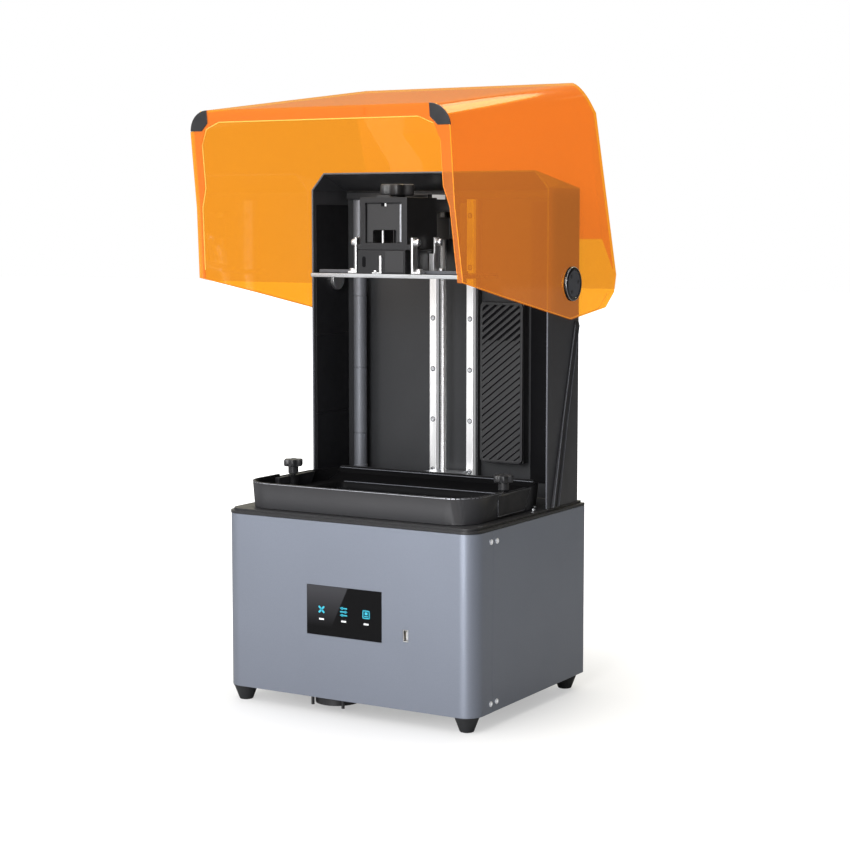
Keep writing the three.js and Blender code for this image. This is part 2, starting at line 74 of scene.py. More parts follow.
def joint_place(name):
    joint = next(j for j in frame["record"]["behaviour"]["joints"] if j["name"] == name)
    return Vector(joint["pos_m"])


# ---- mesh making ----

def axes_of(axis):
    """Unit vectors (u, v, w) of a right-handed set whose w is the named axis."""
    u, v, w = {"X": ("Y", "Z", "X"), "Y": ("Z", "X", "Y"), "Z": ("X", "Y", "Z")}[axis]
    unit = {"X": Vector((1, 0, 0)), "Y": Vector((0, 1, 0)), "Z": Vector((0, 0, 1))}
    return unit[u], unit[v], unit[w]


class Piece:
    """One mesh put together from closed forms."""

    def __init__(self, name):
        self.name = name
        self.bm = bmesh.new()

    def skin(self, rings, closed):
        """Faces from each ring of points to the next, and back to the first if closed."""
        made = [[self.bm.verts.new(p) for p in ring] for ring in rings]
        count = len(made[0])
        for a, b in zip(made, made[1:] + (made[:1] if closed else [])):
            for i in range(count):
                j = (i + 1) % count
                self.bm.faces.new((a[i], a[j], b[j], b[i]))
        return made

    def loft(self, rings):
        """Closed skin over rings of points, with flat ends."""
        made = self.skin(rings, closed=False)
        self.bm.faces.new(made[0][::-1])
        self.bm.faces.new(made[-1])
        return self

    def hoop(self, rings):
        """Closed skin over rings of points that come round to the first."""
        self.skin(rings, closed=True)
        return self

    def prism(self, outline, axis, low, high):
        """An outline of (u, v) points swept along an axis; u and v follow that axis in X, Y, Z order."""
        u, v, w = axes_of(axis)
        return self.loft([[u * a + v * b + w * h for a, b in outline] for h in (low, high)])

    def box(self, low, high):
        (x0, y0, z0), (x1, y1, z1) = low, high
        return self.prism([(x0, y0), (x1, y0), (x1, y1), (x0, y1)], "Z", z0, z1)

    def lathe(self, profile, centre, axis, segments=48, outline=None):
        """A profile of (radius, height) turned about an axis; outline(angle) scales the radius."""
        u, v, w = axes_of(axis)
        centre = Vector(centre)
        rings = []
        for radius, height in profile:
            ring = []
            for a in angles(segments):
                r = max(radius, 1e-6) * (outline(a) if outline else 1)
                ring.append(centre + u * (r * math.cos(a)) + v * (r * math.sin(a)) + w * height)
            rings.append(ring)
        return self.loft(rings)

    def tube(self, path, radius, sides=10):
        """A round bar along a path of points."""
        tilted = Vector((0.31, 0.17, 0.93))
        rings = []
        for i, point in enumerate(path):
            ahead = path[min(i + 1, len(path) - 1)] - path[max(i - 1, 0)]
            side = ahead.cross(tilted).normalized()
            up = side.cross(ahead).normalized()
            rings.append([point + (side * math.cos(a) + up * math.sin(a)) * radius for a in angles(sides)])
        return self.loft(rings)

    def screw(self, centre, axis, sign, radius, height):
        """A cap screw whose head stands out along sign * axis, with a sunk hexagon socket."""
        inner = radius * 0.52
        head = [(radius * 0.94, 0), (radius, height * 0.12), (radius, height * 0.72), (radius * 0.86, height)]
        socket = [(inner, height), (inner * 0.98, height * 0.45)]
        side = 2 * math.pi / 6
        u, v, w = axes_of(axis)
        rings = []
        for k, (r, h) in enumerate(head + socket):
            ring = []
            for a in angles(24):
                hexagon = math.cos(side / 2) / math.cos(a % side - side / 2)
                reach = r * (hexagon if k >= len(head) else 1)
                ring.append(Vector(centre) + (u * math.cos(a) + v * math.sin(a)) * reach + w * (sign * h))
            rings.append(ring)
        return self.loft(rings)

    def build(self, material):
        """The mesh as an object of the scene."""
        bmesh.ops.recalc_face_normals(self.bm, faces=self.bm.faces[:])
        mesh = bpy.data.meshes.new(self.name)
        self.bm.to_mesh(mesh)
        self.bm.free()
        mesh.materials.append(material)
        obj = bpy.data.objects.new(self.name, mesh)
        bpy.context.scene.collection.objects.link(obj)
        return obj

    def finish(self, material, body, slot, soft=0.0, segments=3, replaces=(), angle=30):
        obj = self.build(material)
        if soft:
            soften(obj, soft, segments, angle)
        else:
            smooth(obj, angle)
        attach(obj, body)
        if replaces:
            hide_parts(*replaces)
        return obj


def smooth(obj, angle=30):
    """Smooth shading, with creases at edges sharper than angle."""
    obj.data.polygons.foreach_set("use_smooth", [True] * len(obj.data.polygons))
    split = obj.modifiers.new("creases", "EDGE_SPLIT")
    split.split_angle = math.radians(angle)


def soften(obj, width, segments=3, angle=30, merge=False, strength=80, joined=True):
    """Rounds the edges sharper than angle and shades the result smoothly."""
    obj.data.polygons.foreach_set("use_smooth", [True] * len(obj.data.polygons))
    if merge:
        weld = obj.modifiers.new("weld", "WELD")
        weld.merge_threshold = 1e-5
        if joined:
            flat = obj.modifiers.new("flat faces", "DECIMATE")
            flat.decimate_type = "DISSOLVE"
            flat.angle_limit = math.radians(0.5)
    bevel = obj.modifiers.new("edges", "BEVEL")
    bevel.width = width
    bevel.segments = segments
    bevel.limit_method = "ANGLE"
    bevel.angle_limit = math.radians(angle)
    bevel.miter_outer = "MITER_ARC"
    normals = obj.modifiers.new("normals", "WEIGHTED_NORMAL")
    normals.keep_sharp = False
    normals.weight = strength


def dress(names, material, width=0.5 * MM, segments=3, angle=30, strength=80, joined=True):
    """Gives each named CAD node its material and softened edges."""
    for node in names.split():
        obj = NODES[node]
        obj.data.materials.clear()
        obj.data.materials.append(material)
        soften(obj, width, segments, angle, merge=True, strength=strength, joined=joined)


def rounded_rect(x0, x1, y0, y1, r, steps=6):
    points = []
    corners = ((x1 - r, y0 + r, -90), (x1 - r, y1 - r, 0), (x0 + r, y1 - r, 90), (x0 + r, y0 + r, 180))
    for cx, cy, start in corners:
        for k in range(steps + 1):
            a = math.radians(start + 90 * k / steps)
            points.append((cx + r * math.cos(a), cy + r * math.sin(a)))
    return points


def swap(outline):
    """(x, z) points as the (z, x) order that a sweep along Y takes."""
    return [(b, a) for a, b in outline][::-1]


# ---- materials ----

FINE = 0.02 * MM

def fill(node, **values):
    """Sets a node's inputs, named with _ for a space."""
    for name, value in values.items():
        node.inputs[name.replace("_", " ")].default_value = value
    return node


def map_range(tree, value, low, high, start, stop):
    """A value taken from start..stop to low..high."""
    node = tree.nodes.new("ShaderNodeMapRange")
    fill(node, From_Min=start, From_Max=stop, To_Min=low, To_Max=high)
    tree.links.new(value, node.inputs["Value"])
    return node.outputs["Result"]


def vector_math(tree, operation, value, fixed=(0, 0, 0)):
    """The outputs of an operation on a vector and a fixed one."""
    node = tree.nodes.new("ShaderNodeVectorMath")
    node.operation = operation
    node.inputs[1].default_value = fixed
    tree.links.new(value, node.inputs[0])
    return node.outputs


def seen_directly(tree):
    return tree.nodes.new("ShaderNodeLightPath").outputs["Is Camera Ray"]


class Shader:
    """A Principled material whose colour, roughness and bump vary by noise in the piece's own space."""

    def __init__(self, name, colour, roughness, metallic=0.0, **sockets):
        self.material = bpy.data.materials.new(name)
        self.material.use_nodes = True
        self.tree = self.material.node_tree
        self.nodes = self.tree.nodes
        self.links = self.tree.links
        self.bsdf = self.nodes["Principled BSDF"]
        self.colour = colour
        self.roughness = roughness
        fill(self.bsdf, Base_Color=(*colour, 1), Roughness=roughness, Metallic=metallic, **sockets)
        self.coordinates = self.nodes.new("ShaderNodeTexCoord").outputs["Object"]

    def noise(self, scale, detail=4.0, stretch=(1, 1, 1), roughness=0.55):
        mapping = fill(self.nodes.new("ShaderNodeMapping"), Scale=stretch)
        self.links.new(self.coordinates, mapping.inputs["Vector"])
        texture = self.nodes.new("ShaderNodeTexNoise")
        fill(texture, Scale=scale, Detail=detail, Roughness=roughness)
        self.links.new(mapping.outputs["Vector"], texture.inputs["Vector"])
        return texture.outputs["Fac"]

    def cells(self, scale):
        texture = fill(self.nodes.new("ShaderNodeTexVoronoi"), Scale=scale)
        self.links.new(self.coordinates, texture.inputs["Vector"])
        return texture.outputs

    def spread(self, value, low, high, start=0.3, stop=0.7):
        return map_range(self.tree, value, low, high, start, stop)

    def xyz(self, vector):
        split = self.nodes.new("ShaderNodeSeparateXYZ")
        self.links.new(vector, split.inputs["Vector"])
        return split.outputs

    def arithmetic(self, operation, a, b):
        """An operation on a socket and either another socket or a number."""
        node = self.nodes.new("ShaderNodeMath")
        node.operation = operation
        self.links.new(a, node.inputs[0])
        if isinstance(b, (int, float)):
            node.inputs[1].default_value = b
        else:
            self.links.new(b, node.inputs[1])
        return node.outputs["Value"]

    def colour_between(self, value, first, second):
        mix = self.nodes.new("ShaderNodeMix")
        mix.data_type = "RGBA"
        fill(mix, A=(*first, 1), B=(*second, 1))
        self.links.new(value, mix.inputs["Factor"])
        self.links.new(mix.outputs["Result"], self.bsdf.inputs["Base Color"])
        return self

    def vary_colour(self, value, dark, light):
        """Colour between two multiples of the base colour, chosen by value."""
        ends = [[min(1, c * share) for c in self.colour] for share in (dark, light)]
        return self.colour_between(value, *ends)

    def vary_roughness(self, value, amount):
        low = max(0.02, self.roughness - amount)
        high = min(1.0, self.roughness + amount)
        self.links.new(self.spread(value, low, high), self.bsdf.inputs["Roughness"])
        return self

    def bump(self, value, distance, strength=1.0):
        node = fill(self.nodes.new("ShaderNodeBump"), Strength=strength, Distance=distance)
        self.links.new(value, node.inputs["Height"])
        self.links.new(node.outputs["Normal"], self.bsdf.inputs["Normal"])
        return self

    def plain(self, kind, colour):
        """A Transparent or Translucent shader of one colour."""
        return fill(self.nodes.new(f"ShaderNodeBsdf{kind}"), Color=(*colour, 1)).outputs["BSDF"]

    def blend(self, factor, a, b):
        """Shader a at factor 0 and b at 1, where factor is a number or a socket."""
        node = self.nodes.new("ShaderNodeMixShader")
        if isinstance(factor, float):
            node.inputs["Fac"].default_value = factor
        else:
            self.links.new(factor, node.inputs["Fac"])
        self.links.new(a, node.inputs[1])
        self.links.new(b, node.inputs[2])
        return node.outputs["Shader"]


# Strength of the lid's painted glow: emission that brightens the sheet though it is no lamp.
LID_PAINTED_GLOW = 1.9
LID_TINT = (0.85, 0.586, 0.03)


def metallic_paint():
    """Grey blue paint with metal flakes under a thin clear coat, with painted light that makes it a little
    lighter towards the top.
    """
    s = Shader("housing_paint", (0.27, 0.297, 0.362), 0.42, 0.6, Coat_Weight=0.3, Coat_Roughness=0.18)
    # Painted light: the height ramp lightens the colour towards the top, where more light falls; the flake
    # speckle is the paint's own.
    height = s.spread(s.xyz(s.coordinates)["Z"], 0.08, 0.92, 0.02, 0.215)
    speckle = s.spread(s.cells(2600)["Color"], -0.5, 0.5, 0.2, 0.8)
    s.vary_colour(s.arithmetic("ADD", s.arithmetic("MULTIPLY", speckle, 0.35), height), 0.825, 1.015)
    s.vary_roughness(s.noise(14), 0.03)
    return s.bump(s.noise(900, 2), FINE, 0.35).material


def powder_coat(name, colour, roughness=0.5, metallic=0.0):
    """Fine orange peel with faint mottling."""
    s = Shader(name, colour, roughness, metallic)
    s.vary_colour(s.spread(s.noise(1500, 3), 0, 1), 0.82, 1.2)
    s.vary_roughness(s.noise(25), 0.05)
    return s.bump(s.noise(1100, 3), 0.00005, 0.5).material


def moulded_plastic(name, colour, roughness=0.42, specular=0.5):
    """Spark-eroded grain of a moulded cover."""
    s = Shader(name, colour, roughness, Specular_IOR_Level=specular)
    s.vary_colour(s.noise(40), 0.85, 1.15)
    s.vary_roughness(s.noise(90), 0.06)
    return s.bump(s.cells(1400)["Distance"], 0.00003, 0.4).material


def gloss_plastic(name, colour):
    s = Shader(name, colour, 0.08, Coat_Weight=0.6, Coat_Roughness=0.04)
    s.vary_roughness(s.noise(60), 0.03)
    return s.bump(s.noise(30, 2), FINE, 0.15).material


def brushed_metal(name, colour, roughness, stretch, glow=0.0):
    """Metal with hairlines; stretch sets their direction, and glow adds painted light as emission."""
    s = Shader(name, colour, roughness, 1.0, Emission_Color=(*colour, 1), Emission_Strength=glow)
    hairlines = s.noise(300, 6, stretch, 0.7)
    s.vary_colour(hairlines, 0.86, 1.08)
    s.vary_roughness(hairlines, 0.07)
    return s.bump(hairlines, FINE, 0.4).material


def blasted_metal(name, colour):
    """Bead-blasted and anodised aluminium."""
    s = Shader(name, colour, 0.34, 1.0)
    grain = s.noise(2400, 2)
    s.vary_colour(grain, 0.92, 1.06)
    s.vary_roughness(s.noise(50), 0.05)
    return s.bump(grain, FINE, 0.4).material


def soft_rubber():
    s = Shader("foot_rubber", (0.017, 0.018, 0.02), 0.62)
    s.vary_colour(s.noise(60), 0.7, 1.5)
    s.vary_roughness(s.noise(120), 0.08)
    return s.bump(s.noise(700, 4), 0.00008, 0.5).material


def amber_plastic():
    """The lid: each face of its thin sheet tints what is behind it, scatters light and carries a soft painted
    glow.

    Light that only passes through on its way to other parts keeps nearly all its own colour.
    """
    s = Shader("lid_amber", (0.98, 0.25, 0.03), 0.1, Coat_Weight=1.0, Coat_Roughness=0.05, Coat_IOR=3.6,
               Emission_Color=(1.0, 0.35, 0.10, 1), Emission_Strength=LID_PAINTED_GLOW)
    s.vary_colour(s.noise(5, 2), 0.97, 1.03)
    s.vary_roughness(s.noise(18), 0.03)
    s.bump(s.noise(9, 2), 0.0001, 0.06)
    body = s.blend(0.45, s.bsdf.outputs["BSDF"], s.plain("Translucent", (0.98, 0.27, 0.03)))
    sheet = s.blend(0.27, s.plain("Transparent", LID_TINT), body)
    surface = s.blend(seen_directly(s.tree), s.plain("Transparent", (0.96, 0.90, 0.84)), sheet)
    s.links.new(surface, s.nodes["Material Output"].inputs["Surface"])
    return s.material


def circuit_board():
    s = Shader("solder_mask", (0.012, 0.12, 0.05), 0.35)
    tracks = s.cells(220)["Distance"]
    s.vary_colour(s.spread(tracks, 0, 1, 0.1, 0.5), 0.75, 1.4)
    return s.bump(tracks, 0.00005, 0.4).material


def clear_film():
    s = Shader("release_film", (0.8, 0.85, 0.9), 0.12, Transmission_Weight=0.6, IOR=1.34)
    return s.bump(s.noise(20, 2), 0.0002, 0.2).material


def glowing(name, colour, strength=0.35):
    s = Shader(name, colour, 0.3, Emission_Color=(*colour, 1), Emission_Strength=strength)
    return s.vary_colour(s.noise(400), 0.95, 1.05).material


def paper_label():
    # Paper with a painted glow (emission) that keeps the label bright though it lies in shade.
    s = Shader("label_paper", (0.85, 0.85, 0.85), 0.55, Emission_Color=(1, 1, 1, 1), Emission_Strength=0.25)
    s.vary_colour(s.noise(500), 0.93, 1.03)
    return s.bump(s.noise(800), FINE, 0.3).material


def screen_glass():
    """Near-black cover glass with a painted reflection: a faint sheen that fades away from its upper left
    corner.
    """
    s = Shader("screen_glass", (0.009, 0.009, 0.010), 0.07, Specular_IOR_Level=0.12)
    # Painted reflection: a lighter patch bounded by a slanted line and fading downwards.
    slant = vector_math(s.tree, "DOT_PRODUCT", s.coordinates, (-1, 0, 0.475))["Value"]
    corner = s.spread(slant, 0, 1, 0.0638, 0.0652)
    fade = s.spread(s.xyz(s.coordinates)["Z"], 0, 1, 0.098, 0.146)
    s.vary_colour(s.arithmetic("MULTIPLY", corner, fade), 0.5, 6)
    return s.bump(s.noise(30, 2), FINE, 0.15).material


def vat_coat():
    """The vat's black coat: lit by the lamps on its outside and rim, with painted shade inside that makes it
    nearly black and less shiny.
    """
    s = Shader("vat_black", (0.030, 0.030, 0.033), 0.52, 0.2)
    low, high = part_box("vat_body")
    rim_centre = ((low.x + high.x) / 2, (low.y + high.y) / 2, high.z - 1.2 * MM)
    place = s.xyz(vector_math(s.tree, "SUBTRACT", s.coordinates, rim_centre)["Vector"])
    facing = s.xyz(s.nodes.new("ShaderNodeNewGeometry").outputs["True Normal"])
    across = s.arithmetic("MULTIPLY", place["X"], facing["X"])
    along = s.arithmetic("MULTIPLY", place["Y"], facing["Y"])
    # Painted shade: faces turned in towards the pool, and upward faces below the rim, get a fifth of the
    # colour and little shine.
    facing_in = s.arithmetic("LESS_THAN", s.arithmetic("ADD", across, along), -0.004)
    upward = s.arithmetic("GREATER_THAN", facing["Z"], 0.25)
    below = s.arithmetic("LESS_THAN", place["Z"], 0.0)
    inside = s.arithmetic("MAXIMUM", facing_in, s.arithmetic("MULTIPLY", upward, below))
    s.vary_colour(inside, 1.0, 0.22)
    s.links.new(s.spread(inside, 0.4, 0.06, 0, 1), s.bsdf.inputs["Specular IOR Level"])
    s.vary_roughness(s.noise(25), 0.05)
    return s.bump(s.noise(1100, 3), 0.00005, 0.5).material


def plate_metal():
    """Build plate: sand-blasted dark top, bright milled edges and a bright lower face."""
    s = Shader("plate_metal", (0.66, 0.67, 0.69), 0.3, 1.0)
    facing = s.xyz(s.nodes.new("ShaderNodeNewGeometry").outputs["Normal"])
    s.colour_between(s.spread(facing["Z"], 0, 1, 0.7, 0.9), s.colour, (0.07, 0.072, 0.08))
    lines = s.noise(400, 5, (0.05, 1, 1), 0.7)
    s.vary_roughness(lines, 0.08)
    return s.bump(lines, FINE, 0.4).material


PAINT = metallic_paint()
DARK_SHEET = powder_coat("dark_sheet", (0.030, 0.031, 0.034), 0.42, 0.2)
TOWER_SHEET = powder_coat("tower_sheet", (0.062, 0.063, 0.070), 0.42, 0.25)
DECK = moulded_plastic("deck_black", (0.020, 0.020, 0.022), 0.4)
BLACK = moulded_plastic("black_plastic", (0.018, 0.018, 0.020), 0.38)
VAT = vat_coat()
# Darker than the vat: painted shade of the recesses on the vat's sides.
CHEEK_SHADE = moulded_plastic("vat_cheek", (0.014, 0.014, 0.016), 0.45, 0.3)
HEAD = powder_coat("head_black", (0.015, 0.015, 0.017), 0.42, 0.25)
GLOSS = gloss_plastic("gloss_black", (0.006, 0.006, 0.007))
GLASS = screen_glass()
STEEL = brushed_metal("rail_steel", (0.95, 0.955, 0.97), 0.36, (1, 1, 0.04))
# Rail steel with a painted glow (emission) that keeps the rails bright.
RAIL = brushed_metal("guide_steel", (0.96, 0.965, 0.98), 0.38, (1, 1, 0.04), glow=0.22)
SCREW = brushed_metal("screw_steel", (0.80, 0.81, 0.84), 0.3, (1, 1, 1))
# Screw steel with a painted glint: emission that makes the side screws show as bright dots.
BRIGHT_SCREW = brushed_metal("screw_with_painted_glint", (0.90, 0.91, 0.93), 0.36, (1, 1, 1), glow=0.16)
TUBE = powder_coat("tube_paint", (0.16, 0.168, 0.19), 0.5, 0.4)
BAR = powder_coat("bar_paint", (0.10, 0.103, 0.115), 0.4, 0.4)
# Glowing orange for the lid's edges: a painted highlight, not a lamp.
LID_EDGE_GLOW = glowing("lid_edge_painted_glow", (1.0, 0.50, 0.10), 0.25)
FACE = powder_coat("head_face", (0.028, 0.028, 0.030), 0.46, 0.2)
# Light grey for thin lines along edges that stand for painted highlights, and for the hinge inlay.
GREY_AND_EDGE_HIGHLIGHT = powder_coat("grey_and_painted_edge_highlight", (0.13, 0.135, 0.155), 0.4, 0.4)
# Bright metal for the head's aluminium strip and the hinge ring, and for the painted highlight along the vat
# rim.
BRIGHT_METAL_AND_HIGHLIGHT = brushed_metal("bright_metal_and_rim_highlight", (0.50, 0.51, 0.55), 0.4, (1, 1, 1))
STRIP = powder_coat("strip_black", (0.030, 0.030, 0.034), 0.4, 0.2)
# Near black put where recesses and gaps lie in shade: painted shade.
SHADE_BLACK = moulded_plastic("painted_shade_black", (0.005, 0.005, 0.006), 0.6, 0.05)
LINER = moulded_plastic("dark_liner", (0.011, 0.011, 0.013), 0.5, 0.2)
DARK_SCREW = brushed_metal("dark_screw", (0.10, 0.10, 0.11), 0.3, (1, 1, 1))
ALUMINIUM = blasted_metal("satin_aluminium", (0.70, 0.71, 0.74))
PLATE = plate_metal()
RUBBER = soft_rubber()
AMBER = amber_plastic()
BOARD = circuit_board()
FILM = clear_film()
GOLD = brushed_metal("contact_gold", (0.83, 0.62, 0.25), 0.25, (1, 0.1, 1))
CYAN = glowing("icon_cyan", (0.04, 0.42, 0.55), 0.2)
WHITE = glowing("icon_white", (0.75, 0.76, 0.78), 0.2)
LABEL = paper_label()


# ---- camera, light and floor ----

ROOM_AIM = (-0.62, -0.58, 0.53)
ROOM_DARK = 0.03
ROOM_BRIGHT = 0.80
WHITE_LIGHT = (1, 1, 1)
# Each lamp's name, place, aim, size, power in watts and colour.
LAMPS = (
    ("key", (-1.15, -2.55, 1.8), (0, 0, 0.3), (2.3, 2.3), 37, WHITE_LIGHT),
    ("side", (0.45, -2.6, 0.75), (0, 0, 0.1), (0.7, 1.6), 40, WHITE_LIGHT),
    ("glint", (0.23, 1.92, 2.23), (0.1, 0, 0.65), (1.5, 0.4), 11, (1.0, 0.9, 0.6)),
    ("rear", (-0.5, 2.5, 1.45), (0, 0, 0.5), (3.4, 1.1), 10, (1.0, 0.92, 0.62)),
    ("near", (0.15, -0.9, 1.1), (0, -0.1, 0.2), (0.5, 0.5), 3.5, WHITE_LIGHT),
    ("top", (-0.2, 0.2, 2.6), (0, 0, 0), (1.8, 1.8), 26, WHITE_LIGHT),
)


def make_camera():
    data = bpy.data.cameras.new("camera")
    data.lens = 83.25
    data.sensor_width = 36
    data.clip_end = 50
    camera = bpy.data.objects.new("camera", data)
    camera.location = (1.1562, -1.9157, 0.5436)
    camera.rotation_euler = Euler((math.radians(84.01), 0, math.radians(30.82)))
    bpy.context.scene.collection.objects.link(camera)
    bpy.context.scene.camera = camera


def make_light(name, place, target, size, power, colour):
    data = bpy.data.lights.new(name, "AREA")
    data.shape = "RECTANGLE"
    data.size, data.size_y = size
    data.energy = power
    data.color = colour
    light = bpy.data.objects.new(name, data)
    light.location = place
    aim = Vector(target) - Vector(place)
    light.rotation_euler = aim.to_track_quat("-Z", "Y").to_euler()
    light.visible_camera = False
    bpy.context.scene.collection.objects.link(light)


def make_room():
    """A world that is white to the camera, and lights the object most from its front left."""
    world = bpy.data.worlds.new("studio")
    world.use_nodes = True
    tree = world.node_tree
    background = tree.nodes["Background"]
    background.inputs["Color"].default_value = (1, 1, 1, 1)
    direction = tree.nodes.new("ShaderNodeTexCoord").outputs["Generated"]
    toward = vector_math(tree, "DOT_PRODUCT", direction, ROOM_AIM)["Value"]
    mix = tree.nodes.new("ShaderNodeMix")
    mix.data_type = "FLOAT"
    mix.inputs["B"].default_value = 1.0
    tree.links.new(seen_directly(tree), mix.inputs["Factor"])
    tree.links.new(map_range(tree, toward, ROOM_DARK, ROOM_BRIGHT, -0.5, 0.9), mix.inputs["A"])
    tree.links.new(mix.outputs["Result"], background.inputs["Strength"])
    bpy.context.scene.world = world


def make_floor():
    """A pale floor that the camera sees fading to white away from the object; its weaker glow near the object
    paints a shadow there.
    """
    floor = Piece("floor").prism(rounded_rect(-12, 12, -12, 12, 1), "Z", -0.02, 0)
    s = Shader("pale_floor", (0.36, 0.36, 0.363), 0.6, Emission_Color=(1, 1, 1, 1))
    s.vary_colour(s.noise(2), 0.99, 1.0)
    distance = vector_math(s.tree, "LENGTH", s.coordinates)["Value"]
    # Painted shadow: the camera-only glow is weakest close to the object and rises towards white further out.
    near = s.spread(distance, 0.42, 0.92, 0.12, 0.5)
    far = s.spread(distance, 0.0, 0.4, 0.5, 2.5)
    lift = s.arithmetic("MULTIPLY", s.arithmetic("ADD", near, far), seen_directly(s.tree))
    s.links.new(lift, s.bsdf.inputs["Emission Strength"])
    floor.build(s.material)


def make_studio():
    make_room()
    for lamp in LAMPS:
        make_light(*lamp)
    make_floor()
    bpy.context.scene.view_settings.view_transform = "Standard"


# ---- housing ----

def make_housing():
    dress("front_wrap_panel", PAINT, 0.6 * MM, strength=100, joined=False)
    dress("rear_wrap_panel", PAINT, 0.6 * MM, strength=100)
    dress("base_plate", DARK_SHEET, 0.3 * MM)
    dress("deck_plate", DECK, 0.9 * MM)
    dress("exposure_screen", GLOSS, 0.3 * MM)
    dress("lid_catch", BLACK, 0.6 * MM)
    dress("intake_fan_frame intake_fan_rotor exhaust_fan_frame exhaust_fan_rotor", BLACK, 0.3 * MM, 2)
    dress("light_housing power_inlet power_rocker", BLACK, 0.4 * MM, 2)
    dress("heat_sink", ALUMINIUM, 0.2 * MM, 2)
    dress("power_supply", ALUMINIUM, 0.8 * MM, 2)
    dress("mainboard led_array", BOARD, 0.2 * MM, 2)


def make_feet():
    for place in ("front_left", "front_right", "rear_left", "rear_right"):
        node = f"foot_{place}"
        low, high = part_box(node)
        top = (high.x - low.x) / 2
        height = high.z - low.z
        profile = [(0, 0), mm(6.2, 0), mm(7.4, 0.4), mm(8.0, 1.3)]
        profile += [(top - 0.7 * MM, height - 1.8 * MM), (top, height - 1.0 * MM), (top, height), (0, height)]
        centre = middle(node)
        foot = Piece(f"{node}_rubber").lathe(profile, (centre.x, centre.y, low.z), "Z", 56)
        foot.finish(RUBBER, "base", "rubber", replaces=[node])


def make_side_screws():
    """Two pairs of hex screws on each side of the seam, and more round the back."""
    low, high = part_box("rear_wrap_panel")
    seam = low.y
    places = [(seam - 4.5 * MM, high.z - 11.5 * MM), (seam + 8.5 * MM, high.z - 12 * MM),
              (seam - 4.5 * MM, low.z + 10 * MM), (seam + 8.5 * MM, low.z + 10.4 * MM)]
    for name, sign in SIDES:
        screws = Piece(f"seam_screws_{name}")
        x = high.x if sign > 0 else low.x
        for y, z in places:
            screws.screw((x - sign * 0.3 * MM, y, z), "X", sign, 3.0 * MM, 1.3 * MM)
        # These screws take the steel with a painted glint.
        screws.finish(BRIGHT_SCREW, "base", "steel")
    rear = Piece("rear_panel_screws")
    for x in (-150, -50, 50, 150):
        for z in (low.z + 9 * MM, high.z - 9 * MM):
            rear.screw((x * MM, high.y - 0.3 * MM, z), "Y", 1, 2.6 * MM, 1.2 * MM)
    rear.finish(SCREW, "base", "steel")


def make_touch_screen():
    """Cover glass with three pictograms (crossed bars, sliders and a card), each over a plain bar."""
    low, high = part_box("touch_screen")
    edge = 4 * MM
    x0, x1, z0, z1 = low.x + edge, high.x - edge, low.z + edge, high.z - edge
    glass = Piece("screen_glass")
    glass.prism(swap(rounded_rect(x0, x1, z0, z1, 0.8 * MM)), "Y", low.y, low.y + 2.4 * MM)
    glass.finish(GLASS, "base", "gloss_black", soft=0.25 * MM, replaces=["touch_screen"])
    front, back = low.y + 0.02 * MM, low.y - 0.05 * MM
    height = z1 - z0
    z = z0 + height * 0.52
    size = height * 0.093
    bars = Piece("screen_labels")
    icons = Piece("screen_icons")

    def slab(piece, left, right, bottom, top, corner):
        piece.prism(swap(rounded_rect(left, right, bottom, top, corner)), "Y", back, front)

    places = [x0 + (x1 - x0) * part for part in (0.2, 0.5, 0.8)]
    for x in places:
        slab(bars, x - size * 0.62, x + size * 0.62, z0 + height * 0.31, z0 + height * 0.345, 0.25 * MM)
    crossed, sliders, card = places
    for turn in (45, -45):
        c, s = math.cos(math.radians(turn)), math.sin(math.radians(turn))
        flat_bar = rounded_rect(-size, size, -size * 0.22, size * 0.22, size * 0.2)
        bar = [(crossed + a * c - b * s, z + a * s + b * c) for a, b in flat_bar]
        icons.prism(swap(bar), "Y", back, front)
    for row in (-0.75, 0, 0.75):
        slab(icons, sliders - size * 0.9, sliders + size * 0.9,
             z + size * (row - 0.14), z + size * (row + 0.14), size * 0.12)
        knob = sliders + size * (0.45 if row == 0 else -0.4)
        icons.lathe([(size * 0.3, back), (size * 0.3, front)], (knob, 0, z + size * row), "Y", 20)
    for a0, a1, b0, b1 in ((-0.9, 0.9, 0.68, 0.9), (-0.9, 0.9, -0.9, -0.68), (-0.9, -0.68, -0.9, 0.9),
                           (0.68, 0.9, -0.9, 0.9), (-0.35, 0.35, -0.1, 0.5), (-0.5, 0.5, -0.5, -0.3)):
        slab(icons, card + size * a0, card + size * a1, z + size * b0, z + size * b1, size * 0.08)
    icons.finish(CYAN, "base", "gloss_black")
    bars.finish(WHITE, "base", "gloss_black")


def make_usb():
    dress("usb_port", STEEL, 0.25 * MM, 2)
    low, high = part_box("usb_port")
    contacts = Piece("usb_contacts")
    for k in range(4):
        z = low.z + (high.z - low.z) * (0.26 + 0.16 * k)
        contacts.box((low.x + 2.9 * MM, low.y + 2.2 * MM, z - 0.5 * MM),
                     (low.x + 3.2 * MM, low.y + 11 * MM, z + 0.5 * MM))
    contacts.finish(GOLD, "base", "steel")


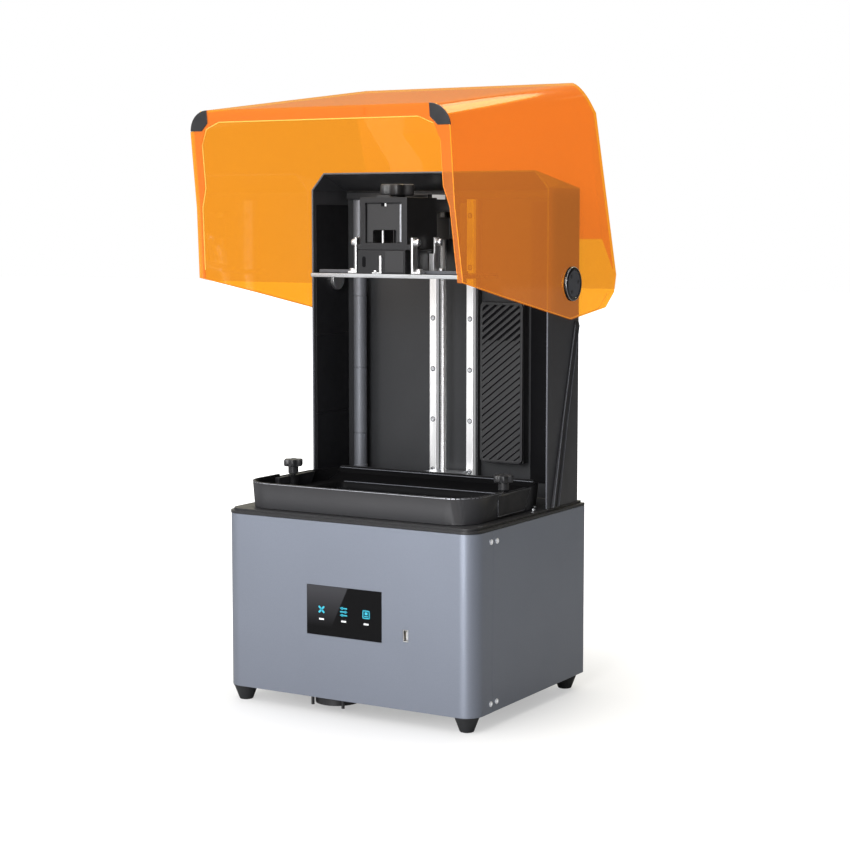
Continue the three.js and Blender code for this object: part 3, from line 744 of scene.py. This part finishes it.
def make_rear_details():
    """Finger guard of the exhaust fan and the three pins of the power inlet."""
    fan = middle("exhaust_fan_frame")
    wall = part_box("rear_wrap_panel")[1].y
    guard = Piece("exhaust_guard")
    wire = 0.8 * MM
    u, v, w = axes_of("Y")
    centre = Vector((fan.x, wall + 0.9 * MM, fan.z))
    for radius in (6, 12, 18, 24, 29.5):
        section = [(radius * MM + wire * math.cos(a), wire * math.sin(a)) for a in angles(8)]
        guard.hoop([[centre + (u * math.cos(a) + v * math.sin(a)) * r + w * h for r, h in section]
                    for a in angles(48)])
    for k in range(4):
        a = math.radians(45 + 90 * k)
        direction = Vector((math.cos(a), 0, math.sin(a)))
        across = Vector((-math.sin(a), 0, math.cos(a)))
        start = Vector((fan.x, wall + wire, fan.z)) + direction * 5 * MM
        end = start + direction * 31 * MM
        guard.loft([[point + across * 0.9 * MM * math.cos(t) + Vector((0, wire * math.sin(t), 0))
                     for t in angles(10)] for point in (start, end)])
        guard.screw(end, "Y", 1, 2.6 * MM, 1.6 * MM)
    guard.finish(DARK_SCREW, "base", "steel")
    low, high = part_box("power_inlet")
    centre = (low + high) / 2
    pins = Piece("inlet_pins")
    socket = low.z + 13 * MM
    for x, z in ((-5, -1.5), (5, -1.5), (0, 3)):
        pins.box((centre.x + (x - 1) * MM, high.y - 17 * MM, socket + (z - 2) * MM),
                 (centre.x + (x + 1) * MM, high.y - 3 * MM, socket + (z + 2) * MM))
    pins.finish(STEEL, "base", "steel", soft=0.3 * MM)


# ---- tower ----

def make_tower():
    dress("tower_shell", TOWER_SHEET, 0.5 * MM, 3, 25)
    dress("tower_rear_panel", DARK_SHEET, 0.4 * MM)
    dress("z_column tower_beam", DARK_SHEET, 0.8 * MM)
    dress("z_motor", STEEL, 0.8 * MM)
    dress("lower_bearing_block", ALUMINIUM, 0.6 * MM)
    dress("screw_coupling", ALUMINIUM, 0.5 * MM)
    dress("hinge_pin_left hinge_pin_right", STEEL, 0.3 * MM)
    make_side_strips()
    make_tower_edge_highlight_and_shade()
    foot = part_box("tower_shell")[0].z
    screws = Piece("tower_foot_screws")
    for x, y in ((141, 3), (149, 8), (141, 26), (151, 40), (-141, 3), (-149, 8), (-141, 26)):
        screws.screw((x * MM, y * MM, foot + 0.1 * MM), "Z", 1, 2.4 * MM, 2.0 * MM)
    screws.finish(SCREW, "base", "steel")


def make_tower_edge_highlight_and_shade():
    """Painted highlight along the lit front edge of the shell, and matt black panels on the back wall beside
    the column as painted shade.
    """
    low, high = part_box("tower_shell")
    shoulder, ridge = high.z - 19.5 * MM, high.x - 16.9 * MM
    outer = [(low.x, low.z), (low.x, shoulder), (-ridge, high.z), (ridge, high.z), (high.x, shoulder),
             (high.x, low.z)]
    wall = 1.7 * MM
    inner = [(low.x + wall, low.z), (low.x + wall, shoulder - 0.5 * MM), (-ridge + 0.8 * MM, high.z - wall),
             (ridge - 0.8 * MM, high.z - wall), (high.x - wall, shoulder - 0.5 * MM), (high.x - wall, low.z)]
    # A lighter strip over the cut front edge: painted highlight.
    lit_edge_strip = Piece("tower_edge_highlight")
    rings = []
    for (ax, az), (bx, bz) in zip(outer, inner):
        corners = ((ax, -0.5, az), (bx, -0.5, bz), (bx, 0.3, bz), (ax, 0.3, az))
        rings.append([Vector((x, low.y + y * MM, z)) for x, y, z in corners])
    lit_edge_strip.loft(rings)
    lit_edge_strip.finish(GREY_AND_EDGE_HIGHLIGHT, "base", "dark_sheet", soft=0.2 * MM, segments=2)
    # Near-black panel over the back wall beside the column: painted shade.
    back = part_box("tower_rear_panel")[0].y - 0.3 * MM
    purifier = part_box("purifier_body")[1].x
    panel = Piece("tower_back_shade_panel")
    panel.box((purifier + 3 * MM, back - 1.5 * MM, low.z + 18 * MM),
              (high.x - 4.5 * MM, back, high.z - 34 * MM))
    panel.finish(SHADE_BLACK, "base", "black_plastic", soft=0.4 * MM)


def make_side_strips():
    """A strut on each side wall: a shallow channel with raised edges and a rounded upper end."""
    narrow, rim, low_wall = mm(10.6, 2.0, 1.65)
    for name, sign in SIDES:
        node = f"side_strip_{name}"
        low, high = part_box(node)
        wall = low.x if sign > 0 else high.x
        top = high.z - 7 * MM
        end = high.y - narrow
        strip = Piece(f"side_strut_{name}")
        rings = []
        levels = ((0, 3.9 * MM, 13.8 * MM), (0.5, low_wall, 11.6 * MM), (1, low_wall, narrow))
        for part, tall, width in levels:
            z = low.z + (top - low.z) * part
            y = low.y + (end - low.y) * part
            floor = tall * 0.45
            section = [(0, 0), (width, 0), (width, tall * 0.9), (width - rim * 0.5, tall),
                       (width - rim, floor), (rim * 1.3, floor), (rim * 0.8, tall), (0, tall * 0.9)]
            rings.append([Vector((wall + sign * h, y + u, z)) for u, h in section])
        strip.loft(rings)
        centre = (wall, end + narrow / 2, top)
        strip.lathe([(0, 0), (narrow / 2, 0), (narrow / 2, sign * low_wall * 0.8),
                     (narrow / 2 - 0.8 * MM, sign * low_wall), (0, sign * low_wall)], centre, "X", 40)
        strip.finish(STRIP, "base", "black_plastic", soft=0.3 * MM, segments=2, replaces=[node], angle=25)
        # Lighter tubes along the strut's edges: painted highlights.
        lines = Piece(f"side_strut_edge_highlights_{name}")
        for start, stop in ((0.4, 0.4), (13.4, narrow / MM - 0.4)):
            foot = Vector((wall + sign * 3.6 * MM, low.y + start * MM, low.z + 1 * MM))
            halfway = (low.y + end) / 2 + (start * 0.5 + stop * 0.5) * MM
            knee = Vector((wall + sign * 1.5 * MM, halfway, (low.z + top) / 2))
            head = Vector((wall + sign * 1.5 * MM, end + stop * MM, top))
            lines.tube([foot, knee, head], 0.42 * MM)
        lines.finish(GREY_AND_EDGE_HIGHLIGHT, "base", "black_plastic")


def make_liners():
    """Black inner panels of the tower's side walls, in three lengths with fine seams."""
    low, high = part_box("tower_shell")
    levels = (low.z + 12 * MM, low.z + 92 * MM, low.z + 186 * MM, low.z + 262 * MM, high.z - 36 * MM)
    for name, sign in SIDES:
        liner = Piece(f"tower_liner_{name}")
        wall = (high.x if sign > 0 else low.x) - sign * 2.3 * MM
        inner = wall - sign * 1.4 * MM
        x0, x1 = sorted((wall, inner))
        for z0, z1 in zip(levels, levels[1:]):
            liner.box((x0, low.y + 3.5 * MM, z0), (x1, high.y - 4 * MM, z1 - 1.0 * MM))
        liner.finish(LINER, "base", "black_plastic", soft=0.4 * MM)


def make_rails():
    for name, _ in SIDES:
        low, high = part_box(f"rail_{name}")
        x, half, depth = (low.x + high.x) / 2, (high.x - low.x) / 2, high.y - low.y
        groove = 0.9 * MM
        right = [(half, 0), (half, depth * 0.35), (half - groove, depth * 0.45),
                 (half - groove, depth * 0.6), (half, depth * 0.7), (half, depth)]
        outline = [(-half, 0)] + right + [(-a, b) for a, b in right[:0:-1]]
        rail = Piece(f"guide_rail_{name}")
        rail.prism([(x + a, low.y + b) for a, b in outline], "Z", low.z, high.z)
        rail.finish(RAIL, "base", "steel", soft=0.3 * MM, replaces=[f"rail_{name}"])
        screws = Piece(f"rail_screws_{name}")
        rings = Piece(f"rail_counterbores_{name}")
        pitch = 60 * MM
        for k in range(6):
            z = low.z + 15.2 * MM + k * pitch
            rings.lathe([mm(3.1, 0), mm(3.1, -0.12)], (x, low.y + 0.05 * MM, z), "Y", 28)
            screws.screw((x, low.y + 0.2 * MM, z), "Y", -1, 2.3 * MM, 0.9 * MM)
        rings.finish(DARK_SCREW, "base", "steel")
        screws.finish(SCREW, "base", "steel")


def make_lead_screw():
    """Four-start trapezoidal thread, a closed skin whose radius follows the helix."""
    low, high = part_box("lead_screw")
    centre = (low + high) / 2
    crest = (high.x - low.x) / 2
    root = crest - 0.9 * MM
    pitch = 2 * MM
    starts = 4
    segments = 20
    step = 0.4 * MM
    count = int((high.z - low.z) / step)
    rings = []
    for i in range(count + 1):
        z = low.z + (high.z - low.z) * i / count
        ring = []
        for a in angles(segments):
            phase = (z / pitch - starts * a / (2 * math.pi)) % 1
            wave = min(1, max(0, 2.2 * abs(phase - 0.5) * 2 - 0.6))
            r = root + (crest - root) * wave
            ring.append(Vector((centre.x + r * math.cos(a), centre.y + r * math.sin(a), z)))
        rings.append(ring)
    screw = Piece("threaded_screw").loft(rings)
    screw.finish(STEEL, "screw", "steel", replaces=["lead_screw"])


def make_purifier():
    """Ribbed front of the air purifier: a rounded frame with slanting slats behind it."""
    dress("purifier_body", BLACK, 1.5 * MM)
    low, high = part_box("purifier_grille")
    x0, x1, z0, z1 = low.x, high.x, low.z, high.z
    border = 3.2 * MM
    # Black backing behind the slats: painted shade in the gaps between them.
    back = Piece("purifier_gap_shade")
    back.prism(swap(rounded_rect(x0 + 1 * MM, x1 - 1 * MM, z0 + 1 * MM, z1 - 1 * MM, 5 * MM)),
               "Y", high.y - 1.0 * MM, high.y)
    back.finish(SHADE_BLACK, "base", "black_plastic", soft=0.3 * MM)
    cover = Piece("purifier_cover")
    outer = rounded_rect(x0, x1, z0, z1, 6 * MM)
    inner = rounded_rect(x0 + border, x1 - border, z0 + border, z1 - border, 4 * MM)
    rear = high.y - 1.1 * MM
    loops = ((outer, rear), (outer, low.y), (inner, low.y), (inner, rear))
    cover.hoop([[(a, y, b) for a, b in points] for points, y in loops])
    tilt = math.tan(math.radians(38))
    pitch = 8.35 * MM
    left, right = x0 + border - 1.2 * MM, x1 - border + 1.2 * MM
    bottom, top = z0 + border - 0.6 * MM, z1 - border + 0.6 * MM
    split = top - 0.23 * (top - bottom)
    rise = (right - left) * tilt
    bend = right - 1.6 * MM
    crest = (bend - left) * tilt
    ribs = Piece("purifier_ribs")
    start = bottom - rise
    while start < top:
        for rib, low_end, high_end in ((6.5 * MM, bottom, split), (4.6 * MM, split, top)):
            lower = [(left, start), (bend, start + crest), (right, start + crest - 1.2 * MM)]
            outline = clip(lower + [(x, z + rib) for x, z in lower[::-1]], low_end, high_end)
            if len(outline) > 2:
                ribs.prism(swap(outline), "Y", low.y + 0.2 * MM, rear)
        start += pitch
    ribs.finish(FACE, "base", "black_plastic", soft=0.7 * MM, segments=3)
    cover.finish(BLACK, "base", "black_plastic", soft=0.5 * MM, segments=2, replaces=["purifier_grille"])


def clip(points, bottom, top):
    """The part of a polygon between two heights."""
    for limit, keep_above in ((bottom, True), (top, False)):
        result = []
        for (ax, az), (bx, bz) in zip(points, points[1:] + points[:1]):
            a_in = (az >= limit) == keep_above
            b_in = (bz >= limit) == keep_above
            if a_in:
                result.append((ax, az))
            if a_in != b_in:
                t = (limit - az) / (bz - az)
                result.append((ax + (bx - ax) * t, limit))
        points = result
    return points


def make_pillar():
    low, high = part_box("pillar")
    centre = (low + high) / 2
    r = (high.x - low.x) / 2
    body = r - 0.6 * MM
    profile = [(0, 0), (r, 0), (r, 26 * MM), (body, 27 * MM)]
    for part in (0.19, 0.42, 0.67):
        z = (high.z - low.z) * part
        profile += [(body, z - 1.6 * MM), (body - 0.5 * MM, z - 1.2 * MM), (body - 0.5 * MM, z),
                    (body, z + 0.4 * MM)]
    profile += [(body, high.z - low.z - 1 * MM), (body - 1 * MM, high.z - low.z), (0, high.z - low.z)]
    pillar = Piece("round_pillar").lathe(profile, (centre.x, centre.y, low.z), "Z", 48)
    pillar.finish(TUBE, "base", "black_plastic", replaces=["pillar"])


# ---- platform ----

LOBES = 6
LOBE_DEPTH = 0.12


def lobed(piece, centre, height, r):
    """A hand knob of radius r: a lobed outline with rounded rims, a shallow dished top and a waist below."""
    def outline(a):
        return 1 - LOBE_DEPTH + LOBE_DEPTH * math.cos(LOBES * a)

    profile = [(r * 0.5, 0), (r * 0.86, 0), (r * 0.97, height * 0.08), (r, height * 0.2),
               (r, height * 0.8), (r * 0.97, height * 0.93), (r * 0.88, height), (r * 0.62, height),
               (r * 0.56, height * 0.95), (r * 0.3, height * 0.93)]
    return piece.lathe(profile, centre, "Z", LOBES * 16, outline)


def make_platform():
    dress("z_carriage", DARK_SHEET, 0.8 * MM)
    dress("platform_arm mount_block", HEAD, 0.8 * MM)
    dress("head_frame", HEAD, 0.7 * MM)
    dress("build_plate", PLATE, 0.4 * MM)
    for end in ("front", "rear"):
        for name, sign in SIDES:
            node = f"bracket_{end}_{name}"
            dress(node, STEEL, 0.5 * MM)
            low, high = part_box(node)
            y = (low.y + high.y) / 2
            side = low.x + 2.5 * MM if sign > 0 else high.x - 2.5 * MM
            screws = Piece(f"bracket_screws_{end}_{name}")
            screws.screw((side, y, high.z - 5.5 * MM), "X", sign, 4.2 * MM, 5.5 * MM)
            foot = (low.x + high.x) / 2 + sign * 1.9 * MM
            screws.screw((foot, y, low.z + 2.4 * MM), "Z", 1, 3.9 * MM, 3.2 * MM)
            screws.finish(SCREW, "platform", "steel")
    low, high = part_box("head_knob")
    centre = (low + high) / 2
    knob = Piece("head_hand_knob")
    knob.lathe([mm(9, 0), mm(9, 2.4)], (centre.x, centre.y, low.z), "Z", 32)
    lobed(knob, (centre.x, centre.y, low.z + 1.8 * MM), high.z - low.z - 1.8 * MM,
          (high.x - low.x) / 2)
    knob.finish(BLACK, "head_knob_body", "black_plastic", replaces=["head_knob"])
    make_head_details()


def make_head_details():
    low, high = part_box("head_frame")
    recess = low.y + 3.45 * MM
    lit = Piece("head_face_panel")
    arch = ((-22.6, 517.6), (-15.4, 517.6), (-15.4, 529.6), (-13.8, 531.4), (13.8, 531.4),
            (15.4, 529.6), (15.4, 517.6), (22.6, 517.6), (22.6, 560.2), (-22.6, 560.2))
    lit.prism(swap([mm(x, z) for x, z in arch]), "Y", recess - 0.8 * MM, recess + 0.3 * MM)
    lit.finish(FACE, "platform", "black_aluminium", soft=0.2 * MM)
    tab = Piece("head_top_tab")
    tab_outline = [(x * MM, high.z + z * MM) for x, z in ((-10, -0.5), (10, -0.5), (7, 2.6), (-7, 2.6))]
    tab.prism(swap(tab_outline), "Y", low.y, low.y + 4 * MM)
    tab.finish(FACE, "platform", "black_aluminium", soft=0.4 * MM)
    steel = Piece("head_bright_parts")
    steel.box((0.4 * MM, recess - 1.6 * MM, 557 * MM), (2.6 * MM, recess - 0.7 * MM, 560.8 * MM))
    steel.lathe([mm(1.6, 511), mm(1.6, 532)], (-8 * MM, low.y + 12 * MM, 0), "Z", 20)
    block_low, block_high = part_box("mount_block")
    front = block_low.y - 0.3 * MM
    plate_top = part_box("build_plate")[1].z + 0.3 * MM
    steel.box((-4.6 * MM, front - 1.6 * MM, plate_top), (-1.8 * MM, front + 0.1 * MM, 503 * MM))
    steel.box((-14 * MM, front - 1.6 * MM, plate_top), (-4 * MM, front + 0.1 * MM, plate_top + 1.6 * MM))
    side = block_high.x + 0.6 * MM
    steel.box((side, -27 * MM, plate_top), (side + 6 * MM, -24.4 * MM, 505 * MM))
    steel.finish(STEEL, "platform", "steel", soft=0.35 * MM)
    strip = Piece("head_side_strip")
    strip.box((20.0 * MM, recess - 1.8 * MM, 518 * MM), (22.2 * MM, recess - 0.7 * MM, 559.5 * MM))
    strip.finish(BRIGHT_METAL_AND_HIGHLIGHT, "platform", "aluminium", soft=0.3 * MM)
    heads = Piece("head_small_screws")
    heads.screw((-9.5 * MM, front - 0.9 * MM, plate_top + 1.5 * MM), "Z", 1, 2.4 * MM, 2.2 * MM)
    heads.finish(SCREW, "platform", "steel")
    face = Piece("head_block_face")
    face.box((2.6 * MM, front - 0.5 * MM, 484.5 * MM), (26.5 * MM, front + 0.32 * MM, 508.4 * MM))
    face.finish(FACE, "platform", "black_aluminium", soft=0.4 * MM)
    # Black slabs at the block's slot and at the notch above the panel: painted shade of these recesses.
    slot = Piece("head_block_slot_shade")
    slot.prism(swap(rounded_rect(*mm(-27.8, -23.2, 490, 502, 2.2))),
               "Y", front + 0.15 * MM, front + 0.4 * MM)
    slot.box((-4.2 * MM, recess - 1.2 * MM, 557.2 * MM), (-0.2 * MM, recess - 0.7 * MM, 560.8 * MM))
    slot.finish(SHADE_BLACK, "platform", "black_aluminium")
    bar = Piece("plate_stiffener")
    bar.box((-94.5 * MM, front + 14 * MM, plate_top - 0.2 * MM),
            (94.5 * MM, front + 24 * MM, plate_top + 3.6 * MM))
    bar.finish(BAR, "platform", "black_aluminium", soft=0.5 * MM)
    ledge = Piece("head_frame_feet")
    for sign in (-1, 1):
        x0, x1 = sorted(mm(sign * 30.2, sign * 34.6))
        ledge.box((x0, low.y, 509.4 * MM), (x1, low.y + 12 * MM, 515.5 * MM))
    ledge.finish(HEAD, "platform", "black_aluminium", soft=0.8 * MM)
    arm_low, arm_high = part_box("platform_arm")
    label = Piece("arm_label")
    label.box((arm_high.x - 0.02 * MM, arm_low.y + 10 * MM, arm_high.z - 5.5 * MM),
              (arm_high.x + 0.15 * MM, arm_low.y + 39 * MM, arm_high.z - 0.3 * MM))
    label.finish(LABEL, "platform", "black_aluminium")


# ---- vat ----

def make_rim_highlight():
    """Painted highlight along the front edge of the vat's rim, a bright strip from one knob round to the
    other.
    """
    low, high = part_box("vat_body")
    radius = 35 * MM
    knob = middle("vat_knob_left").y
    path = [(low.x, knob - 18.5 * MM)]
    corners = ((low.x + radius, 180), (high.x - radius, 270))
    for centre, start in corners:
        for k in range(13):
            a = math.radians(start + 7.5 * k)
            path.append((centre + radius * math.cos(a), low.y + radius + radius * math.sin(a)))
    path.append((high.x, knob - 18.5 * MM))
    rim_highlight = Piece("vat_rim_highlight")
    section = ((0.05, 1.1), (0.05, 0.5), (0.6, 0), (1.4, 0), (1.4, 1.1))
    rings = []
    for i, (x, y) in enumerate(path):
        ax, ay = path[max(i - 1, 0)]
        bx, by = path[min(i + 1, len(path) - 1)]
        inward = Vector((ay - by, bx - ax, 0)).normalized()
        at = Vector((x, y, high.z))
        rings.append([at + inward * across * MM - Vector((0, 0, down * MM)) for across, down in section])
    rim_highlight.loft(rings)
    rim_highlight.finish(BRIGHT_METAL_AND_HIGHLIGHT, "vat", "black_aluminium", angle=50)


def make_vat_lines():
    """Painted highlights on edges at the back of the vat: the pool's rear edge and the foot of the rear rim.
    """
    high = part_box("vat_body")[1]
    lines = Piece("vat_rear_edge_highlights")
    for half, back, drop in ((114, 19.7, 16.2), (130, 2.6, 2.4)):
        at = Vector((0, high.y - back * MM, high.z - drop * MM))
        lines.tube([at - Vector((half * MM, 0, 0)), at + Vector((half * MM, 0, 0))], 0.5 * MM)
    lines.finish(GREY_AND_EDGE_HIGHLIGHT, "vat", "black_aluminium")


def make_vat():
    make_rim_highlight()
    make_vat_lines()
    dress("vat_body", VAT, 0.8 * MM, 4, strength=100)
    dress("film_frame", STEEL, 0.4 * MM)
    NODES["release_film"].data.materials.clear()
    NODES["release_film"].data.materials.append(FILM)
    body_low, body_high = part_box("vat_body")
    for name, sign in SIDES:
        node = f"vat_knob_{name}"
        low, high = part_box(node)
        centre = (low + high) / 2
        knob = Piece(f"vat_hand_knob_{name}")
        neck = high.z - low.z - 7 * MM
        shaft = [mm(2.4, 0), mm(2.4, 26.6), mm(5.2, 26.6), mm(5.9, 27.4), (5.9 * MM, neck)]
        knob.lathe(shaft, (centre.x, centre.y, low.z), "Z", 32)
        lobed(knob, (centre.x, centre.y, high.z - 8 * MM), 8 * MM, (high.x - low.x) / 2)
        knob.finish(BLACK, f"{node}_body", "black_plastic", replaces=[node])
        wall = body_high.x if sign > 0 else body_low.x
        x0, x1 = sorted((wall - sign * 9 * MM, wall - sign * 0.35 * MM))
        bottom, top = body_low.z + 3 * MM, body_low.z + 26 * MM
        corners = [(centre.y + y * MM, z) for y, z in ((-28, bottom), (32, bottom), (47, top), (-28, top))]
        # The cheek is darker than the vat: painted shade of the recess on its side.
        cheek = Piece(f"vat_cheek_{name}").prism(corners, "X", x0, x1)
        cheek.finish(CHEEK_SHADE, "vat", "black_aluminium", soft=0.8 * MM)
        face = wall - sign * 0.55 * MM
        # Lighter tubes along the cheek's edges: painted highlights.
        lines = Piece(f"vat_cheek_edge_highlights_{name}")
        lines.tube([Vector((face, y, z)) for y, z in corners[1:] + corners[:2]], 0.4 * MM)
        lines.finish(GREY_AND_EDGE_HIGHLIGHT, "vat", "black_aluminium")


# ---- lid ----

LID_OPEN = 83.2
LID_HINGE = joint_place("lid_tilt")


def lid_point(x, y, z):
    """A place on the lid, given with the lid closed, where it is with the lid open."""
    turn = math.radians(-LID_OPEN)
    dy, dz = y * MM - LID_HINGE.y, z * MM - LID_HINGE.z
    return Vector((x * MM, LID_HINGE.y + dy * math.cos(turn) - dz * math.sin(turn),
                   LID_HINGE.z + dy * math.sin(turn) + dz * math.cos(turn)))


def make_lid_edges():
    """The polished edges of the sheet, drawn as thin tubes whose painted glow shows as thin bright lines."""
    edges = Piece("lid_bright_edges")
    rim = 221.6
    for sign in (-1, 1):
        outer = [(147, -148.0, rim), (161.6, -125, rim), (161.6, -44.1, rim), (165.9, 32.6, rim),
                 (161.7, 63.5, 321), (161.7, 109.6, 466), (161.7, 109.9, 539), (161.7, 96, 562.5)]
        inner = [(x, y, rim + 1) for x, y in ((125, -135.6), (142.2, -128.4), (149.2, -111.4),
                                              (149.2, -65.4), (155.5, -44.1), (159.2, 24))]
        edges.tube([lid_point(sign * x, y, z) for x, y, z in outer], 0.5 * MM)
        edges.tube([lid_point(sign * x, y, z) for x, y, z in inner], 0.45 * MM)
    edges.tube([lid_point(-125, -135.6, rim + 1), lid_point(125, -135.6, rim + 1)], 0.45 * MM)
    edges.finish(LID_EDGE_GLOW, "lid", "lid_orange")


def make_lid():
    make_lid_edges()
    dress("lid_shell", AMBER, 0.6 * MM, 3, 28)
    for name, sign in SIDES:
        dress(f"lid_pad_{name}", BLACK, 0.5 * MM)
        node = f"hinge_cap_{name}"
        low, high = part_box(node)
        centre = (low + high) / 2
        r = (high.z - low.z) / 2
        depth = high.x - low.x
        inner = high.x if sign < 0 else low.x
        profile = [(0, 0), (r, 0), (r, depth * 0.6), (r - 0.5 * MM, depth * 0.85), (r - 1.4 * MM, depth),
                   (r - 3.2 * MM, depth), (r - 3.6 * MM, depth - 0.5 * MM), (0, depth - 0.5 * MM)]
        cap = Piece(f"hinge_disc_{name}")
        cap.lathe([(a, sign * b) for a, b in profile], (inner, centre.y, centre.z), "X", 72)
        cap.finish(GLOSS, "lid", "gloss_black", replaces=[node])
        inlay = Piece(f"hinge_inlay_{name}")
        wide, back, front = r - 4.4 * MM, sign * (depth - 0.6 * MM), sign * (depth - 0.35 * MM)
        inlay.lathe([(0, back), (wide, back), (wide, front), (0, front)],
                    (inner, centre.y, centre.z), "X", 64)
        inlay.finish(GREY_AND_EDGE_HIGHLIGHT, "lid", "gloss_black")
        ring = Piece(f"hinge_ring_{name}")
        reach = r - 0.55 * MM
        ring.tube([Vector((inner + sign * depth * 0.82, centre.y + reach * math.cos(a),
                           centre.z + reach * math.sin(a))) for a in angles(60) + [2 * math.pi]], 0.4 * MM, 8)
        ring.finish(BRIGHT_METAL_AND_HIGHLIGHT, "lid", "gloss_black")
        marks = Piece(f"hinge_screws_{name}")
        for turn in (170, 50, -60):
            a = math.radians(turn)
            place = (inner + back, centre.y - math.cos(a) * r * 0.55, centre.z + math.sin(a) * r * 0.55)
            marks.screw(place, "X", sign, 2.1 * MM, 0.5 * MM)
        marks.finish(DARK_SCREW, "lid", "steel")


make_camera()
make_studio()
make_housing()
make_feet()
make_side_screws()
make_touch_screen()
make_usb()
make_rear_details()
make_tower()
make_liners()
make_rails()
make_lead_screw()
make_purifier()
make_pillar()
make_platform()
make_vat()
make_lid()
